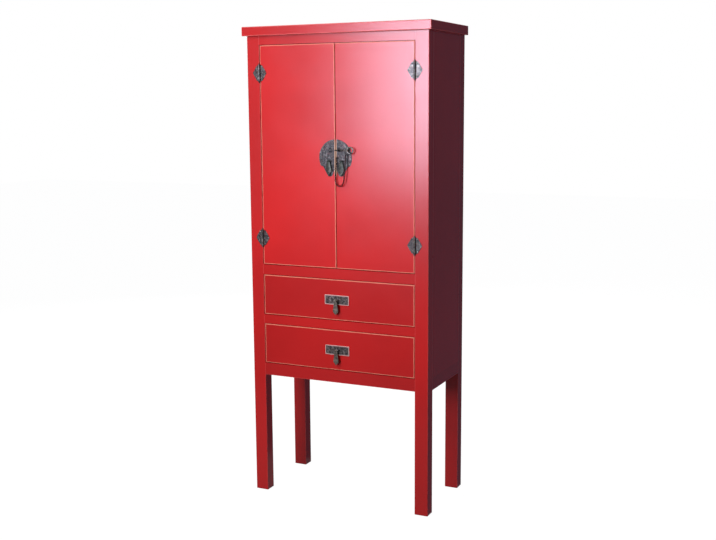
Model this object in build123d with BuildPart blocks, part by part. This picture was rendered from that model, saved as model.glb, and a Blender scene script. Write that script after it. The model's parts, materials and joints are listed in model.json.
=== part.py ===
"""A tall, narrow wedding cabinet: two inset doors over two inset drawers, on post legs.

Millimetres. +Z is up, X runs to the right, the front faces -Y, and the feet stand on Z = 0.
The origin is on the floor, in the middle of the cabinet's overall width and depth.
"""

from build123d import *
from math import radians, sqrt, tan
import os

os.makedirs("parts", exist_ok=True)

# ---------------------------------------------------------------- driving dimensions
# Whole cabinet
HEIGHT = 1600.0
BODY_WIDTH = 650.0
BODY_DEPTH = 326.0

# Top board
TOP_THICK = 30.0
TOP_SIDE_OVERHANG = 12.0
TOP_FRONT_OVERHANG = 14.0
TOP_EASE = 1.2

# Corner posts, whose lower ends are the legs
POST_WIDTH = 46.0
POST_DEPTH = 40.0
POST_EASE = 2.0
FOOT_CHAMFER = 1.2

# Front, from the floor up
LEG_CLEAR = 420.0
APRON_HEIGHT = 42.0
DRAWER_OPENING = 140.0
DRAWER_RAIL = 31.0
WAIST_RAIL = 34.0
TOP_RAIL = 29.0
RAIL_DEPTH = 30.0
BACK_RAIL_DEPTH = 22.0
STOP_LIP = 8.0
STOP_GAP = 0.4

# Joints of the frame
TENON_THICK = 10.0
TENON_LENGTH = 24.0
TENON_SHOULDER = 5.0
STUB_TENON = 12.0
STUB_SHOULDER = 10.0
JOINT_CLEAR = 0.15

# Side and back panels and boards
SIDE_THICK = 18.0
TONGUE_THICK = 8.0
TONGUE_DEPTH = 8.0
BACK_THICK = 8.0
BACK_REBATE = 8.0
FLOOR_THICK = 12.0
SHELF_THICK = 15.0
SHELF_RISE = 360.0
SHELF_SETBACK = 6.0
BOTTOM_THICK = 8.0
BOTTOM_RISE = 10.0
BOARD_CLEAR = 0.2
CLEAT_THICK = 16.0
CLEAT_HEIGHT = 20.0

# Doors
DOOR_THICK = 18.0
DOOR_GAP = 2.0
SEAM_GAP = 2.5
EDGE_EASE = 1.0
BATTEN_THICK = 14.0
BATTEN_WIDTH = 40.0
BATTEN_INSET = 20.0
BATTEN_FROM_END = 120.0
BATTEN_CHAMFER = 6.0

# Hinges: two pointed leaves on a barrel, the ends of its pin forged to eight-sided finials
HINGE_INSET = 90.0
LEAF_REACH = 25.5
LEAF_LENGTH = 54.0
LEAF_SHOULDER = (10.0, 25.0)
LEAF_CORNER = (18.0, 13.0)
LEAF_TACKS = ((9.0, 19.5), (20.0, 0.0), (9.0, -19.5))
LEAF_THICK = 1.6
KNUCKLE_RADIUS = 4.0
KNUCKLE_SIDES = 12
KNUCKLE_GAP = 0.4
HINGE_PIN_RADIUS = 2.0
HINGE_STANDOFF = 0.3
RUNNING_CLEAR = 0.08
FINIAL_RADIUS = 3.5
FINIAL_HEIGHT = 4.8
FINIAL_POINT = (2.2, 3.2)
FINIAL_SIDES = 8

# Square-shanked tacks, their heads hammered to eight sloping flats
TACK_HEAD_RADIUS = 2.4
TACK_HEAD_HEIGHT = 1.1
TACK_HEAD_SLOPE = 0.9
TACK_HEAD_SIDES = 8
TACK_SHANK = 1.4
TACK_LENGTH = 9.0
TACK_CLEAR = 0.1

# Lock plates: a round plate split at the seam; below its round rim each half steps in to a tail
PLATE_RADIUS = 59.0
PLATE_THICK = 1.6
PLATE_SETBACK = 4.5
PLATE_RIM_ANGLE = -18.0
PLATE_LOBE = ((54.0, -24.5), (50.0, -29.0))
PLATE_STEP = (45.5, -28.0)
PLATE_TAIL = ((29.0, -56.5), (20.0, -61.5), (11.0, -56.5))
PLATE_INNER_EDGE = -40.0
PLATE_TACK_RADIUS = 53.0
PLATE_TACK_ANGLES = (79, 41, 3, -20)

# Staples of wire that is hammered to eight flats and bent in short straight strokes
WIRE_SIDES = 8
WIRE_RADIUS = 1.4
EYE_STROKES = 6
STAPLE_BITE = 12.0
EYE_RADIUS = 6.0
STAPLE_OFFSET = 16.5
STAPLE_RISE = 24.0

# Lock pin, the link that rides on it, and the chain
PIN_RADIUS = 2.2
PIN_OUT = 11.5
PIN_TIP = 2.5
PIN_POINT = 0.9
PIN_REST_GAP = 0.3
RING_CENTRE = 57.5
RING_RADIUS = 10.2
RING_WIRE = 1.8
RING_SIDES = 16
RING_EASE = 1.0
LINK_OFFSET = 42.0
LINK_WIRE = 1.1
LINK_WIDTH = 9.4
LINK_DROP = 12.7
CHAIN_RADIUS = 1.75
CHAIN_GAP = 0.3
CHAIN_BEND_SHARE = 0.45
ANCHOR_OFFSET = 7.8
ANCHOR_OUT = 7.5
ANCHOR_EYE = 3.2

# Hanging pulls: a tongue rolled round the bar of a wire staple
PULL_WIRE = 1.5
PULL_BAR_HALF = 7.2
PULL_BEND = 2.0
PULL_KNUCKLE = 3.4
PULL_KNUCKLE_WIDTH = 9.2
PULL_BACK = 1.3
PULL_EDGE = 0.7
PULL_RIDGE = 2.1
DOOR_PULL_OFFSET = 22.5
DOOR_PULL_DROP = 11.0
DOOR_PULL_OUT = 6.0
DOOR_PULL_LENGTH = 50.0
DOOR_PULL_WIDTH = 22.0
DOOR_PULL_SHOULDER = 31.0
DRAWER_PULL_OUT = 12.0
DRAWER_PULL_LENGTH = 49.0
DRAWER_PULL_WIDTH = 20.0
DRAWER_PULL_SHOULDER = 37.0

# Drawer pull plates
PULL_PLATE_WIDTH = 88.0
PULL_PLATE_HEIGHT = 32.0
PULL_PLATE_RIM = 3.0
PULL_PLATE_RAISE = 1.0

# Drawers
DRAWER_GAP = 2.0
DRAWER_FRONT_THICK = 18.0
DRAWER_SIDE_THICK = 12.0
DRAWER_SIDE_HEIGHT = 108.0
DRAWER_SIDE_INSET = 3.0
DRAWER_REAR_CLEAR = 12.0
DRAWER_BOTTOM_THICK = 6.0
DRAWER_BOTTOM_RISE = 8.0
GROOVE_DEPTH = 5.0
DOVETAIL_COUNT = 3
DOVETAIL_LENGTH = 12.0
DOVETAIL_FLARE = 2.5
DOVETAIL_SHARE = 0.6
DRAWER_BACK_DROP = 8.0
RUNNER_THICK = 20.0
RUNNER_REACH = 16.0
GUIDE_HEIGHT = 40.0
GUIDE_CLEAR = 1.0
RUNNER_CLEAR = 0.3

# ---------------------------------------------------------------- derived places
front_reach = max(TOP_FRONT_OVERHANG, DRAWER_PULL_OUT + PULL_KNUCKLE, PIN_OUT + EYE_RADIUS)
front = -(BODY_DEPTH - front_reach) / 2
back = front + BODY_DEPTH
half_body = BODY_WIDTH / 2
half_open = half_body - POST_WIDTH
side_inner = half_body - SIDE_THICK
front_post_back = front + POST_DEPTH
back_post_front = back - POST_DEPTH
panel_front = back - BACK_THICK
rail_back = front + RAIL_DEPTH

apron_z = (LEG_CLEAR, LEG_CLEAR + APRON_HEIGHT)
lower_z = (apron_z[1], apron_z[1] + DRAWER_OPENING)
drawer_rail_z = (lower_z[1], lower_z[1] + DRAWER_RAIL)
upper_z = (drawer_rail_z[1], drawer_rail_z[1] + DRAWER_OPENING)
waist_z = (upper_z[1], upper_z[1] + WAIST_RAIL)
post_top = HEIGHT - TOP_THICK
top_rail_z = (post_top - TOP_RAIL, post_top)
door_z = (waist_z[1] + DOOR_GAP, top_rail_z[0] - DOOR_GAP)

hinge_x = half_open - DOOR_GAP / 2
hinge_y = front - KNUCKLE_RADIUS - HINGE_STANDOFF
hinge_heights = (door_z[0] + HINGE_INSET, door_z[1] - HINGE_INSET)
lock_z = (door_z[0] + door_z[1]) / 2
pin_z = lock_z + STAPLE_RISE
door_pull_z = lock_z - DOOR_PULL_DROP
eye_inner = EYE_RADIUS - 2 * WIRE_RADIUS
right_eye_z = pin_z + eye_inner - PIN_RADIUS - PIN_REST_GAP

SIDES = {"left": -1, "right": 1}


# ---------------------------------------------------------------- shared shapes
def block(x, y, z, mode=Mode.ADD):
    """A rectangular block in the open part, from (low, high) pairs along X, Y and Z."""
    middle = ((x[0] + x[1]) / 2, (y[0] + y[1]) / 2, (z[0] + z[1]) / 2)
    with Locations(middle):
        Box(abs(x[1] - x[0]), abs(y[1] - y[0]), abs(z[1] - z[0]), mode=mode)


def mirrored(side, low, high):
    """The (low, high) pair along X on the named side, given its distances from the middle."""
    return (low, high) if side > 0 else (-high, -low)


def save(part, name):
    """Label a finished piece and write it under its own name."""
    part.label = name
    export_step(part, f"parts/{name}.step")


def front_plane(x, z, out=0.0):
    """A plane parallel to the front face, `out` in front of it, its normal towards the viewer."""
    return Plane(origin=(x, front - out, z), x_dir=(1, 0, 0), z_dir=(0, -1, 0))


# ---------------------------------------------------------------- frame
def make_rail(z, y, lip=False):
    """A cross rail with a tenon at each end, and behind the doors a lip that stops them."""
    middle = (y[0] + y[1]) / 2
    tenon_y = (middle - TENON_THICK / 2, middle + TENON_THICK / 2)
    reach = half_open + TENON_LENGTH
    with BuildPart() as rail:
        block((-half_open, half_open), y, z)
        block((-reach, reach), tenon_y, (z[0] + TENON_SHOULDER, z[1] - TENON_SHOULDER))
        if lip:
            lip_y = (front + DOOR_THICK + STOP_GAP, y[1])
            block((-half_open, half_open), lip_y, (z[0] - STOP_LIP, z[0]))
    return rail.part


front_rail_y = (front, rail_back)
back_rail_y = (panel_front - BACK_RAIL_DEPTH, panel_front)
front_rails = {
    "apron_front": apron_z,
    "rail_drawers": drawer_rail_z,
    "rail_waist": waist_z,
    "rail_top": top_rail_z,
}
back_rails = {"apron_back": apron_z, "rail_back_top": top_rail_z}

for name, z in front_rails.items():
    save(make_rail(z, front_rail_y, lip=(name == "rail_top")), name)
for name, z in back_rails.items():
    save(make_rail(z, back_rail_y), name)

groove_x = (half_body - (SIDE_THICK + TONGUE_THICK) / 2, half_body - (SIDE_THICK - TONGUE_THICK) / 2)


def make_post(side, y, rails, rail_y):
    """A full-height post with its mortises, its groove for the side and its stub tenon."""
    at_front = y[0] == front
    middle = (rail_y[0] + rail_y[1]) / 2
    mortise_y = (middle - TENON_THICK / 2 - JOINT_CLEAR, middle + TENON_THICK / 2 + JOINT_CLEAR)
    mortise_x = mirrored(side, half_open, half_open + TENON_LENGTH + JOINT_CLEAR)
    grow = TONGUE_DEPTH + JOINT_CLEAR
    groove_y = (y[1] - grow, y[1]) if at_front else (y[0], y[0] + grow)
    with BuildPart() as post:
        block(mirrored(side, half_open, half_body), y, (0, post_top))
        outer = post.edges().filter_by(Axis.Z).group_by(Axis.X)[-1 if side > 0 else 0]
        fillet(outer.sort_by(Axis.Y)[0 if at_front else -1], POST_EASE)
        chamfer(post.faces().sort_by(Axis.Z)[0].edges(), FOOT_CHAMFER)
        stub_x = mirrored(side, half_open + STUB_SHOULDER, half_body - STUB_SHOULDER)
        stub_y = (y[0] + STUB_SHOULDER, y[1] - STUB_SHOULDER)
        block(stub_x, stub_y, (post_top, post_top + STUB_TENON))
        for z in rails:
            cut_z = (z[0] + TENON_SHOULDER - JOINT_CLEAR, z[1] - TENON_SHOULDER + JOINT_CLEAR)
            block(mortise_x, mortise_y, cut_z, Mode.SUBTRACT)
        groove = mirrored(side, groove_x[0] - JOINT_CLEAR, groove_x[1] + JOINT_CLEAR)
        block(groove, groove_y, (apron_z[0], post_top), Mode.SUBTRACT)
        if not at_front:
            rebate = mirrored(side, half_open, half_open + BACK_REBATE + BOARD_CLEAR)
            block(rebate, (panel_front, back), (apron_z[0], post_top), Mode.SUBTRACT)
        if at_front:
            for height in hinge_heights:
                for place in hinge_tacks(side, height, outward=True):
                    tack_hole(place, TACK_LENGTH)
    return post.part


# ---------------------------------------------------------------- tacks
def hinge_tacks(side, height, outward):
    """Tack places (x, z) on one hinge leaf: outward on the post, else on the door."""
    away = side if outward else -side
    return [(side * hinge_x + away * x, height + z) for x, z in LEAF_TACKS]


def plate_tacks(side):
    """Tack places (x, z) round the rim of one lock plate half."""
    arc = [Vector(PLATE_TACK_RADIUS, 0).rotate(Axis.Z, angle) for angle in PLATE_TACK_ANGLES]
    return [(side * spot.X, lock_z + spot.Y) for spot in arc]


def tack_hole(place, depth):
    """A square hole in the open part, from in front of its plate to `depth` in the wood."""
    x, z = place
    half = TACK_SHANK / 2 + TACK_CLEAR
    y = (front - max(LEAF_THICK, PLATE_THICK) - TACK_CLEAR, front + depth)
    block((x - half, x + half), y, (z - half, z + half), Mode.SUBTRACT)


def make_tacks(groups):
    """Separate tacks, from pairs of (thickness of the plate they hold, their places)."""
    half = TACK_SHANK / 2
    with BuildPart() as tacks:
        for out, x, z in [(out, x, z) for out, places in groups for x, z in places]:
            with BuildSketch(front_plane(x, z, out)):
                RegularPolygon(TACK_HEAD_RADIUS, TACK_HEAD_SIDES)
            extrude(amount=TACK_HEAD_HEIGHT)
            chamfer(tacks.faces(Select.LAST).sort_by(Axis.Y)[0].edges(), TACK_HEAD_SLOPE)
            shank_y = (front - out, front - out + TACK_LENGTH)
            block((x - half, x + half), shank_y, (z - half, z + half))
    return tacks.part


for name, side in SIDES.items():
    front_y, back_y = (front, front_post_back), (back_post_front, back)
    save(make_post(side, front_y, front_rails.values(), front_rail_y), f"post_front_{name}")
    save(make_post(side, back_y, back_rails.values(), back_rail_y), f"post_back_{name}")

with BuildPart() as top_board:
    half_top = half_body + TOP_SIDE_OVERHANG
    block((-half_top, half_top), (front - TOP_FRONT_OVERHANG, back), (post_top, HEIGHT))
    chamfer(top_board.edges(), TOP_EASE)
    for side in SIDES.values():
        for y in ((front, front_post_back), (back_post_front, back)):
            low, high = half_open + STUB_SHOULDER, half_body - STUB_SHOULDER
            mortise_x = mirrored(side, low - JOINT_CLEAR, high + JOINT_CLEAR)
            mortise_y = (y[0] + STUB_SHOULDER - JOINT_CLEAR, y[1] - STUB_SHOULDER + JOINT_CLEAR)
            depth = post_top + STUB_TENON + JOINT_CLEAR
            block(mortise_x, mortise_y, (post_top, depth), Mode.SUBTRACT)
save(top_board.part, "top_board")


def make_side(side, z):
    """A side board between front and back posts, with a tongue in each post's groove."""
    tongue_y = (front_post_back - TONGUE_DEPTH, back_post_front + TONGUE_DEPTH)
    with BuildPart() as board:
        block(mirrored(side, side_inner, half_body), (front_post_back, back_post_front), z)
        block(mirrored(side, *groove_x), tongue_y, z)
    return board.part


for name, side in SIDES.items():
    save(make_side(side, apron_z), f"apron_{name}")
    save(make_side(side, (apron_z[1], post_top)), f"side_panel_{name}")

with BuildPart() as back_panel:
    reach = half_open + BACK_REBATE
    block((-reach, reach), (panel_front, back), (apron_z[0], post_top))
save(back_panel.part, "back_panel")


# ---------------------------------------------------------------- boards inside
def make_board(z, y_front, y_back):
    """A board between the side panels, cut out round whichever posts it meets."""
    reach = side_inner - BOARD_CLEAR
    notch = half_open - BOARD_CLEAR
    with BuildPart() as board:
        block((-reach, reach), (y_front, y_back), z)
        for side in SIDES.values():
            cut_x = mirrored(side, notch, reach)
            if y_front < front_post_back:
                block(cut_x, (y_front, front_post_back + BOARD_CLEAR), z, Mode.SUBTRACT)
            if y_back > back_post_front:
                block(cut_x, (back_post_front - BOARD_CLEAR, y_back), z, Mode.SUBTRACT)
    return board.part


floor_z = (waist_z[1] - FLOOR_THICK, waist_z[1])
shelf_z = (waist_z[1] + SHELF_RISE, waist_z[1] + SHELF_RISE + SHELF_THICK)
bottom_z = (apron_z[0] + BOTTOM_RISE, apron_z[0] + BOTTOM_RISE + BOTTOM_THICK)
save(make_board(floor_z, rail_back, panel_front), "cupboard_floor")
save(make_board(shelf_z, front_post_back + SHELF_SETBACK, panel_front), "shelf")
save(make_board(bottom_z, rail_back, back_rail_y[0]), "bottom_board")


with BuildPart() as board_cleats:
    for board_low in (floor_z[0], shelf_z[0]):
        for side in SIDES.values():
            x = mirrored(side, side_inner - CLEAT_THICK, side_inner)
            block(x, (front_post_back, back_post_front), (board_low - CLEAT_HEIGHT, board_low))
save(board_cleats.part, "board_cleats")

drawer_half = half_open - DRAWER_GAP
box_half = drawer_half - DRAWER_SIDE_INSET


def make_runners(opening):
    """Left and right L-shaped runners: a ledge under the drawer side and a guide beside it."""
    ledge_inner = box_half - DRAWER_SIDE_THICK - RUNNER_REACH
    guide_inner = box_half + GUIDE_CLEAR
    with BuildPart() as runners:
        for side in SIDES.values():
            y = (front_post_back, back_post_front)
            ledge_z = (opening[0] - RUNNER_THICK, opening[0])
            block(mirrored(side, ledge_inner, side_inner), y, ledge_z)
            block(mirrored(side, guide_inner, side_inner), y, (ledge_z[0], opening[0] + GUIDE_HEIGHT))
    return runners.part


save(make_runners(lower_z), "runners_lower")
save(make_runners(upper_z), "runners_upper")


# ---------------------------------------------------------------- hinges
def knuckle_spans(height):
    """Heights of the lower, middle and upper knuckles of one hinge."""
    knuckle = (LEAF_LENGTH - 2 * KNUCKLE_GAP) / 3
    low = height - LEAF_LENGTH / 2
    starts = [low + i * (knuckle + KNUCKLE_GAP) for i in range(3)]
    return [(start, start + knuckle) for start in starts]


def make_leaf(side, height, on_door):
    """A pointed leaf: the post's leaf holds the outer knuckles, the door's the middle one."""
    x = side * hinge_x
    spans = knuckle_spans(height)
    own = [spans[1]] if on_door else [spans[0], spans[2]]
    others = [spans[0], spans[2]] if on_door else [spans[1]]
    away = -side if on_door else side
    upper = [(0, LEAF_LENGTH / 2), LEAF_SHOULDER, LEAF_CORNER]
    lower = [(across, -up) for across, up in reversed(upper)]
    with BuildPart() as leaf:
        with BuildSketch(front_plane(x, height)):
            Polygon(*[(away * across, up) for across, up in [*upper, (LEAF_REACH, 0), *lower]], align=None)
        extrude(amount=LEAF_THICK)
        clear = KNUCKLE_RADIUS + KNUCKLE_GAP
        gap_x = (x, x + away * clear)
        leaf_y = (front - LEAF_THICK, front)
        for low, high in others:
            block(gap_x, leaf_y, (low - KNUCKLE_GAP, high + KNUCKLE_GAP), Mode.SUBTRACT)
        for low, high in own:
            with BuildSketch(Plane(origin=(x, hinge_y, low), z_dir=(0, 0, 1))):
                RegularPolygon(KNUCKLE_RADIUS, KNUCKLE_SIDES)
            extrude(amount=high - low)
        with BuildSketch(Plane(origin=(x, hinge_y, height - LEAF_LENGTH / 2), z_dir=(0, 0, 1))):
            Circle(HINGE_PIN_RADIUS + RUNNING_CLEAR)
        extrude(amount=LEAF_LENGTH, mode=Mode.SUBTRACT)
        for place in hinge_tacks(side, height, outward=not on_door):
            tack_hole(place, 0)
    return leaf.part


def make_hinge_pin(side, height):
    """A hinge pin with an eight-sided, pointed finial at each end."""
    end = LEAF_LENGTH / 2 + KNUCKLE_GAP / 2
    middle = Plane(origin=(side * hinge_x, hinge_y, height), z_dir=(0, 0, 1))
    with BuildPart() as pin:
        with BuildSketch(middle):
            Circle(HINGE_PIN_RADIUS)
        extrude(amount=end, both=True)
        for outward in (1, -1):
            with BuildSketch(middle.offset(outward * end)):
                RegularPolygon(FINIAL_RADIUS, FINIAL_SIDES)
            extrude(amount=outward * FINIAL_HEIGHT)
            tip = pin.faces().sort_by(Axis.Z)[-1 if outward > 0 else 0]
            chamfer(tip.edges(), FINIAL_POINT[1], FINIAL_POINT[0], reference=tip)
    return pin.part


for name, side in SIDES.items():
    for carrier, on_door in {"post": False, "door": True}.items():
        with BuildPart() as leaves:
            for height in hinge_heights:
                add(make_leaf(side, height, on_door))
        save(leaves.part, f"{carrier}_hinge_leaves_{name}")

with BuildPart() as hinge_pins:
    for side in SIDES.values():
        for height in hinge_heights:
            add(make_hinge_pin(side, height))
save(hinge_pins.part, "hinge_pins")

post_places = []
for side in SIDES.values():
    for height in hinge_heights:
        post_places += hinge_tacks(side, height, outward=True)
save(make_tacks([(LEAF_THICK, post_places)]), "post_tacks")


# ---------------------------------------------------------------- wire staples
def sweep_wire(path, radius, corners=Transition.RIGHT):
    """Wire along the given path, in the open part."""
    with BuildSketch(Plane(origin=path @ 0, z_dir=path % 0)) as section:
        RegularPolygon(radius, WIRE_SIDES)
    sweep(section.sketch, path=path, transition=corners)


def half_turn(radius, start):
    """Corners of a half turn in equal straight strokes about the origin, from the angle `start`."""
    corners = [Vector(radius, 0).rotate(Axis.Z, start + i * 180 / EYE_STROKES) for i in range(EYE_STROKES + 1)]
    return [(corner.X, corner.Y) for corner in corners]


def eye_staple(x, z, out, eye, radius):
    """A staple whose eye is `out` in front of the face, for something along X."""
    middle = eye - radius
    depth = out + STAPLE_BITE
    with BuildPart() as staple:
        with BuildLine(Plane(origin=(x, front - out, z), x_dir=(0, 1, 0), z_dir=(1, 0, 0))) as path:
            Polyline((depth, middle), *half_turn(middle, 90), (depth, -middle))
        sweep_wire(path.wire(), radius)
    return staple.part


def wire_holes(x, z, apart, radius, start, depth, upright):
    """A pair of holes for the legs of a staple, in the open part, from `start` in front of the face."""
    columns, rows = (1, 2) if upright else (2, 1)
    with BuildSketch(front_plane(x, z, start)) as holes:
        with GridLocations(apart, apart, columns, rows):
            RegularPolygon(radius + RUNNING_CLEAR, WIRE_SIDES, major_radius=False)
    extrude(holes.sketch, amount=-(start + depth), mode=Mode.SUBTRACT)


def staple_holes(x, z, eye, radius, depth):
    """The two holes of an eye staple, in the open part."""
    wire_holes(x, z, 2 * (eye - radius), radius, PLATE_THICK + TACK_CLEAR, depth, upright=True)


def bar_staple(x, z, out, depth):
    """A staple with a level bar that carries a pull, its legs driven through `depth` of wood."""
    leg, bar = PULL_BAR_HALF, PULL_BAR_HALF - PULL_BEND
    with BuildPart() as staple:
        with BuildLine(Plane(origin=(x, front - out, z))) as path:
            Polyline(
                (-leg, out + depth), (-leg, PULL_BEND), (-bar, 0), (bar, 0), (leg, PULL_BEND), (leg, out + depth),
            )
        sweep_wire(path.wire(), PULL_WIRE)
    return staple.part


def bar_holes(x, z, depth):
    """The two holes of a bar staple, in the open part."""
    wire_holes(x, z, 2 * PULL_BAR_HALF, PULL_WIRE, PLATE_THICK + PULL_PLATE_RAISE, depth, upright=False)


def make_pull(x, z, out, length, width, shoulder):
    """A hanging tongue with a ridge down its middle, rolled round the staple's bar at its top."""
    half = width / 2
    neck = PULL_KNUCKLE_WIDTH / 2
    with BuildPart() as pull:
        with BuildSketch(front_plane(x, z, out - PULL_BACK)):
            Polygon(
                (0, -length), (half, -shoulder), (neck, -PULL_KNUCKLE), (neck, 0), (-neck, 0),
                (-neck, -PULL_KNUCKLE), (-half, -shoulder), align=None,
            )
        extrude(amount=PULL_BACK + PULL_RIDGE)
        with BuildSketch(Plane(origin=(x, front - out, z - length), z_dir=(0, 0, 1))):
            Polygon(
                (-half, PULL_BACK), (half, PULL_BACK), (half, -PULL_EDGE), (0, -PULL_RIDGE), (-half, -PULL_EDGE),
                align=None,
            )
        extrude(amount=length, mode=Mode.INTERSECT)
        with BuildSketch(Plane(origin=(x - neck, front - out, z), z_dir=(1, 0, 0))):
            Circle(PULL_KNUCKLE)
        extrude(amount=2 * neck)
        with BuildSketch(Plane(origin=(x - neck, front - out, z), z_dir=(1, 0, 0))):
            Circle(PULL_WIRE + RUNNING_CLEAR)
        extrude(amount=2 * neck, mode=Mode.SUBTRACT)
    return pull.part


# ---------------------------------------------------------------- doors
def make_door(side):
    """A flat door board with the holes of its tacks and staples."""
    x = mirrored(side, SEAM_GAP / 2, half_open - DOOR_GAP)
    with BuildPart() as door:
        block(x, (front, front + DOOR_THICK), door_z)
        chamfer(door.faces().sort_by(Axis.Y)[0].edges(), EDGE_EASE)
        for out, places in door_tacks(side):
            for place in places:
                tack_hole(place, TACK_LENGTH)
        for eye_x, eye_z in eye_places[side]:
            staple_holes(eye_x, eye_z, EYE_RADIUS, WIRE_RADIUS, STAPLE_BITE + TACK_CLEAR)
        if side > 0:
            staple_holes(ANCHOR_OFFSET, lock_z, ANCHOR_EYE, LINK_WIRE, STAPLE_BITE + TACK_CLEAR)
        bar_holes(side * DOOR_PULL_OFFSET, door_pull_z, STAPLE_BITE + TACK_CLEAR)
    return door.part


def make_battens(side):
    """Two battens across the back of a door, their ends sloped off."""
    low, high = SEAM_GAP / 2 + BATTEN_INSET, half_open - DOOR_GAP - BATTEN_INSET
    y = (front + DOOR_THICK, front + DOOR_THICK + BATTEN_THICK)
    with BuildPart() as battens:
        for middle in (door_z[0] + BATTEN_FROM_END, door_z[1] - BATTEN_FROM_END):
            block(mirrored(side, low, high), y, (middle - BATTEN_WIDTH / 2, middle + BATTEN_WIDTH / 2))
        ends = battens.faces().sort_by(Axis.Y)[-2:].edges().filter_by(Axis.Z)
        chamfer(ends, BATTEN_CHAMFER)
    return battens.part


def door_tacks(side):
    """Tack groups on one door: those of its lock plate half and of its hinge leaves."""
    leaves = [hinge_tacks(side, height, outward=False) for height in hinge_heights]
    return [(PLATE_THICK, plate_tacks(side)), (LEAF_THICK, leaves[0] + leaves[1])]


def make_plate(side):
    """Half of the round lock plate, stepped in below its rim to a rounded tail."""
    arc_top = (PLATE_SETBACK, sqrt(PLATE_RADIUS**2 - PLATE_SETBACK**2))
    arc_middle = Vector(PLATE_RADIUS, 0).rotate(Axis.Z, (90 + PLATE_RIM_ANGLE) / 2)
    arc_end = Vector(PLATE_RADIUS, 0).rotate(Axis.Z, PLATE_RIM_ANGLE)
    inner_end = (PLATE_SETBACK, PLATE_INNER_EDGE)
    with BuildPart() as plate:
        with BuildSketch(front_plane(0, lock_z)):
            with BuildLine():
                ThreePointArc(arc_top, arc_middle, arc_end)
                ThreePointArc(arc_end, *PLATE_LOBE)
                Polyline(PLATE_LOBE[-1], PLATE_STEP, PLATE_TAIL[0])
                ThreePointArc(*PLATE_TAIL)
                Polyline(PLATE_TAIL[-1], inner_end, arc_top)
            make_face()
            if side < 0:
                mirror(about=Plane.YZ, mode=Mode.REPLACE)
        extrude(amount=PLATE_THICK)
        for place in plate_tacks(side):
            tack_hole(place, 0)
        for eye_x, eye_z in eye_places[side]:
            staple_holes(eye_x, eye_z, EYE_RADIUS, WIRE_RADIUS, 0)
        if side > 0:
            staple_holes(ANCHOR_OFFSET, lock_z, ANCHOR_EYE, LINK_WIRE, 0)
        bar_holes(side * DOOR_PULL_OFFSET, door_pull_z, 0)
    return plate.part


eye_places = {-1: [(-STAPLE_OFFSET, pin_z)], 1: [(STAPLE_OFFSET, right_eye_z)]}

for name, side in SIDES.items():
    save(make_door(side), f"door_{name}")
    save(make_battens(side), f"battens_{name}")
    save(make_plate(side), f"lock_plate_{name}")
    save(make_tacks(door_tacks(side)), f"door_tacks_{name}")
    eye_x, eye_z = eye_places[side][0]
    save(eye_staple(eye_x, eye_z, PIN_OUT, EYE_RADIUS, WIRE_RADIUS), f"lock_staple_{name}")
    pull_x = side * DOOR_PULL_OFFSET
    save(bar_staple(pull_x, door_pull_z, DOOR_PULL_OUT, STAPLE_BITE), f"pull_staple_{name}")
    tongue = make_pull(
        pull_x, door_pull_z, DOOR_PULL_OUT, DOOR_PULL_LENGTH, DOOR_PULL_WIDTH, DOOR_PULL_SHOULDER
    )
    save(tongue, f"door_pull_{name}")

# ---------------------------------------------------------------- lock pin and chain
pin_y = front - PIN_OUT
with BuildPart() as ring:
    with BuildSketch(Plane(origin=(RING_CENTRE, pin_y, pin_z), x_dir=(1, 0, 0), z_dir=(0, -1, 0))):
        RegularPolygon(RING_RADIUS + RING_WIRE, RING_SIDES)
        RegularPolygon(RING_RADIUS - RING_WIRE, RING_SIDES, mode=Mode.SUBTRACT)
    extrude(amount=RING_WIRE, both=True)
    flat_faces = ring.faces().sort_by(Axis.Y)
    chamfer(flat_faces[0].edges() + flat_faces[-1].edges(), RING_EASE)

with BuildPart() as lock_pin:
    with BuildSketch(Plane(origin=(PIN_TIP, pin_y, pin_z), x_dir=(0, 1, 0), z_dir=(1, 0, 0))):
        Circle(PIN_RADIUS)
    extrude(amount=RING_CENTRE - RING_RADIUS - PIN_TIP)
    chamfer(lock_pin.faces().sort_by(Axis.X)[0].edges(), PIN_POINT)
    add(ring.part)
save(lock_pin.part, "lock_pin")

link_top = PIN_RADIUS + PIN_REST_GAP + LINK_WIRE
link_low = LINK_DROP - LINK_WIRE
link_half = LINK_WIDTH / 2 - LINK_WIRE
with BuildPart() as pin_link:
    with BuildLine(Plane(origin=(LINK_OFFSET, pin_y, pin_z), x_dir=(0, 1, 0), z_dir=(1, 0, 0))) as loop:
        top, low = link_top - link_half, -link_low + link_half
        over = [(y, z + top) for y, z in half_turn(link_half, 0)]
        under = [(y, z + low) for y, z in half_turn(link_half, 180)]
        Polyline((link_half, (top + low) / 2), *over, *under, close=True)
    sweep_wire(loop.wire(), LINK_WIRE)
save(pin_link.part, "pin_link")

save(eye_staple(ANCHOR_OFFSET, lock_z, ANCHOR_OUT, ANCHOR_EYE, LINK_WIRE), "chain_staple")

# The chain's route: distance from the seam, distance in front of the face, height over the lock's middle
CHAIN_ROUTE = [
    (7.2, 8.0, -24.0),
    (7.6, 8.6, -46.5),
    (9.4, 9.3, -68.5),
    (11.3, 9.8, -81.3),
    (16.2, 10.2, -86.9),
    (23.4, 10.5, -89.0),
    (30.6, 10.8, -86.9),
    (35.5, 11.0, -81.3),
    (37.3, 11.2, -68.5),
    (39.2, 11.4, -47.0),
    (40.7, 11.5, -25.0),
    (41.8, 11.5, -3.0),
]
chain_start = Vector(ANCHOR_OFFSET, front - ANCHOR_OUT, lock_z - ANCHOR_EYE - CHAIN_GAP)
chain_end = Vector(LINK_OFFSET, pin_y, pin_z - LINK_DROP - CHAIN_GAP)
chain_middle = [Vector(x, front - out, lock_z + rise) for x, out, rise in CHAIN_ROUTE]
chain_points = [chain_start, *chain_middle, chain_end]
chain_runs = [b - a for a, b in zip(chain_points, chain_points[1:])]
chain_bends = []
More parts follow.
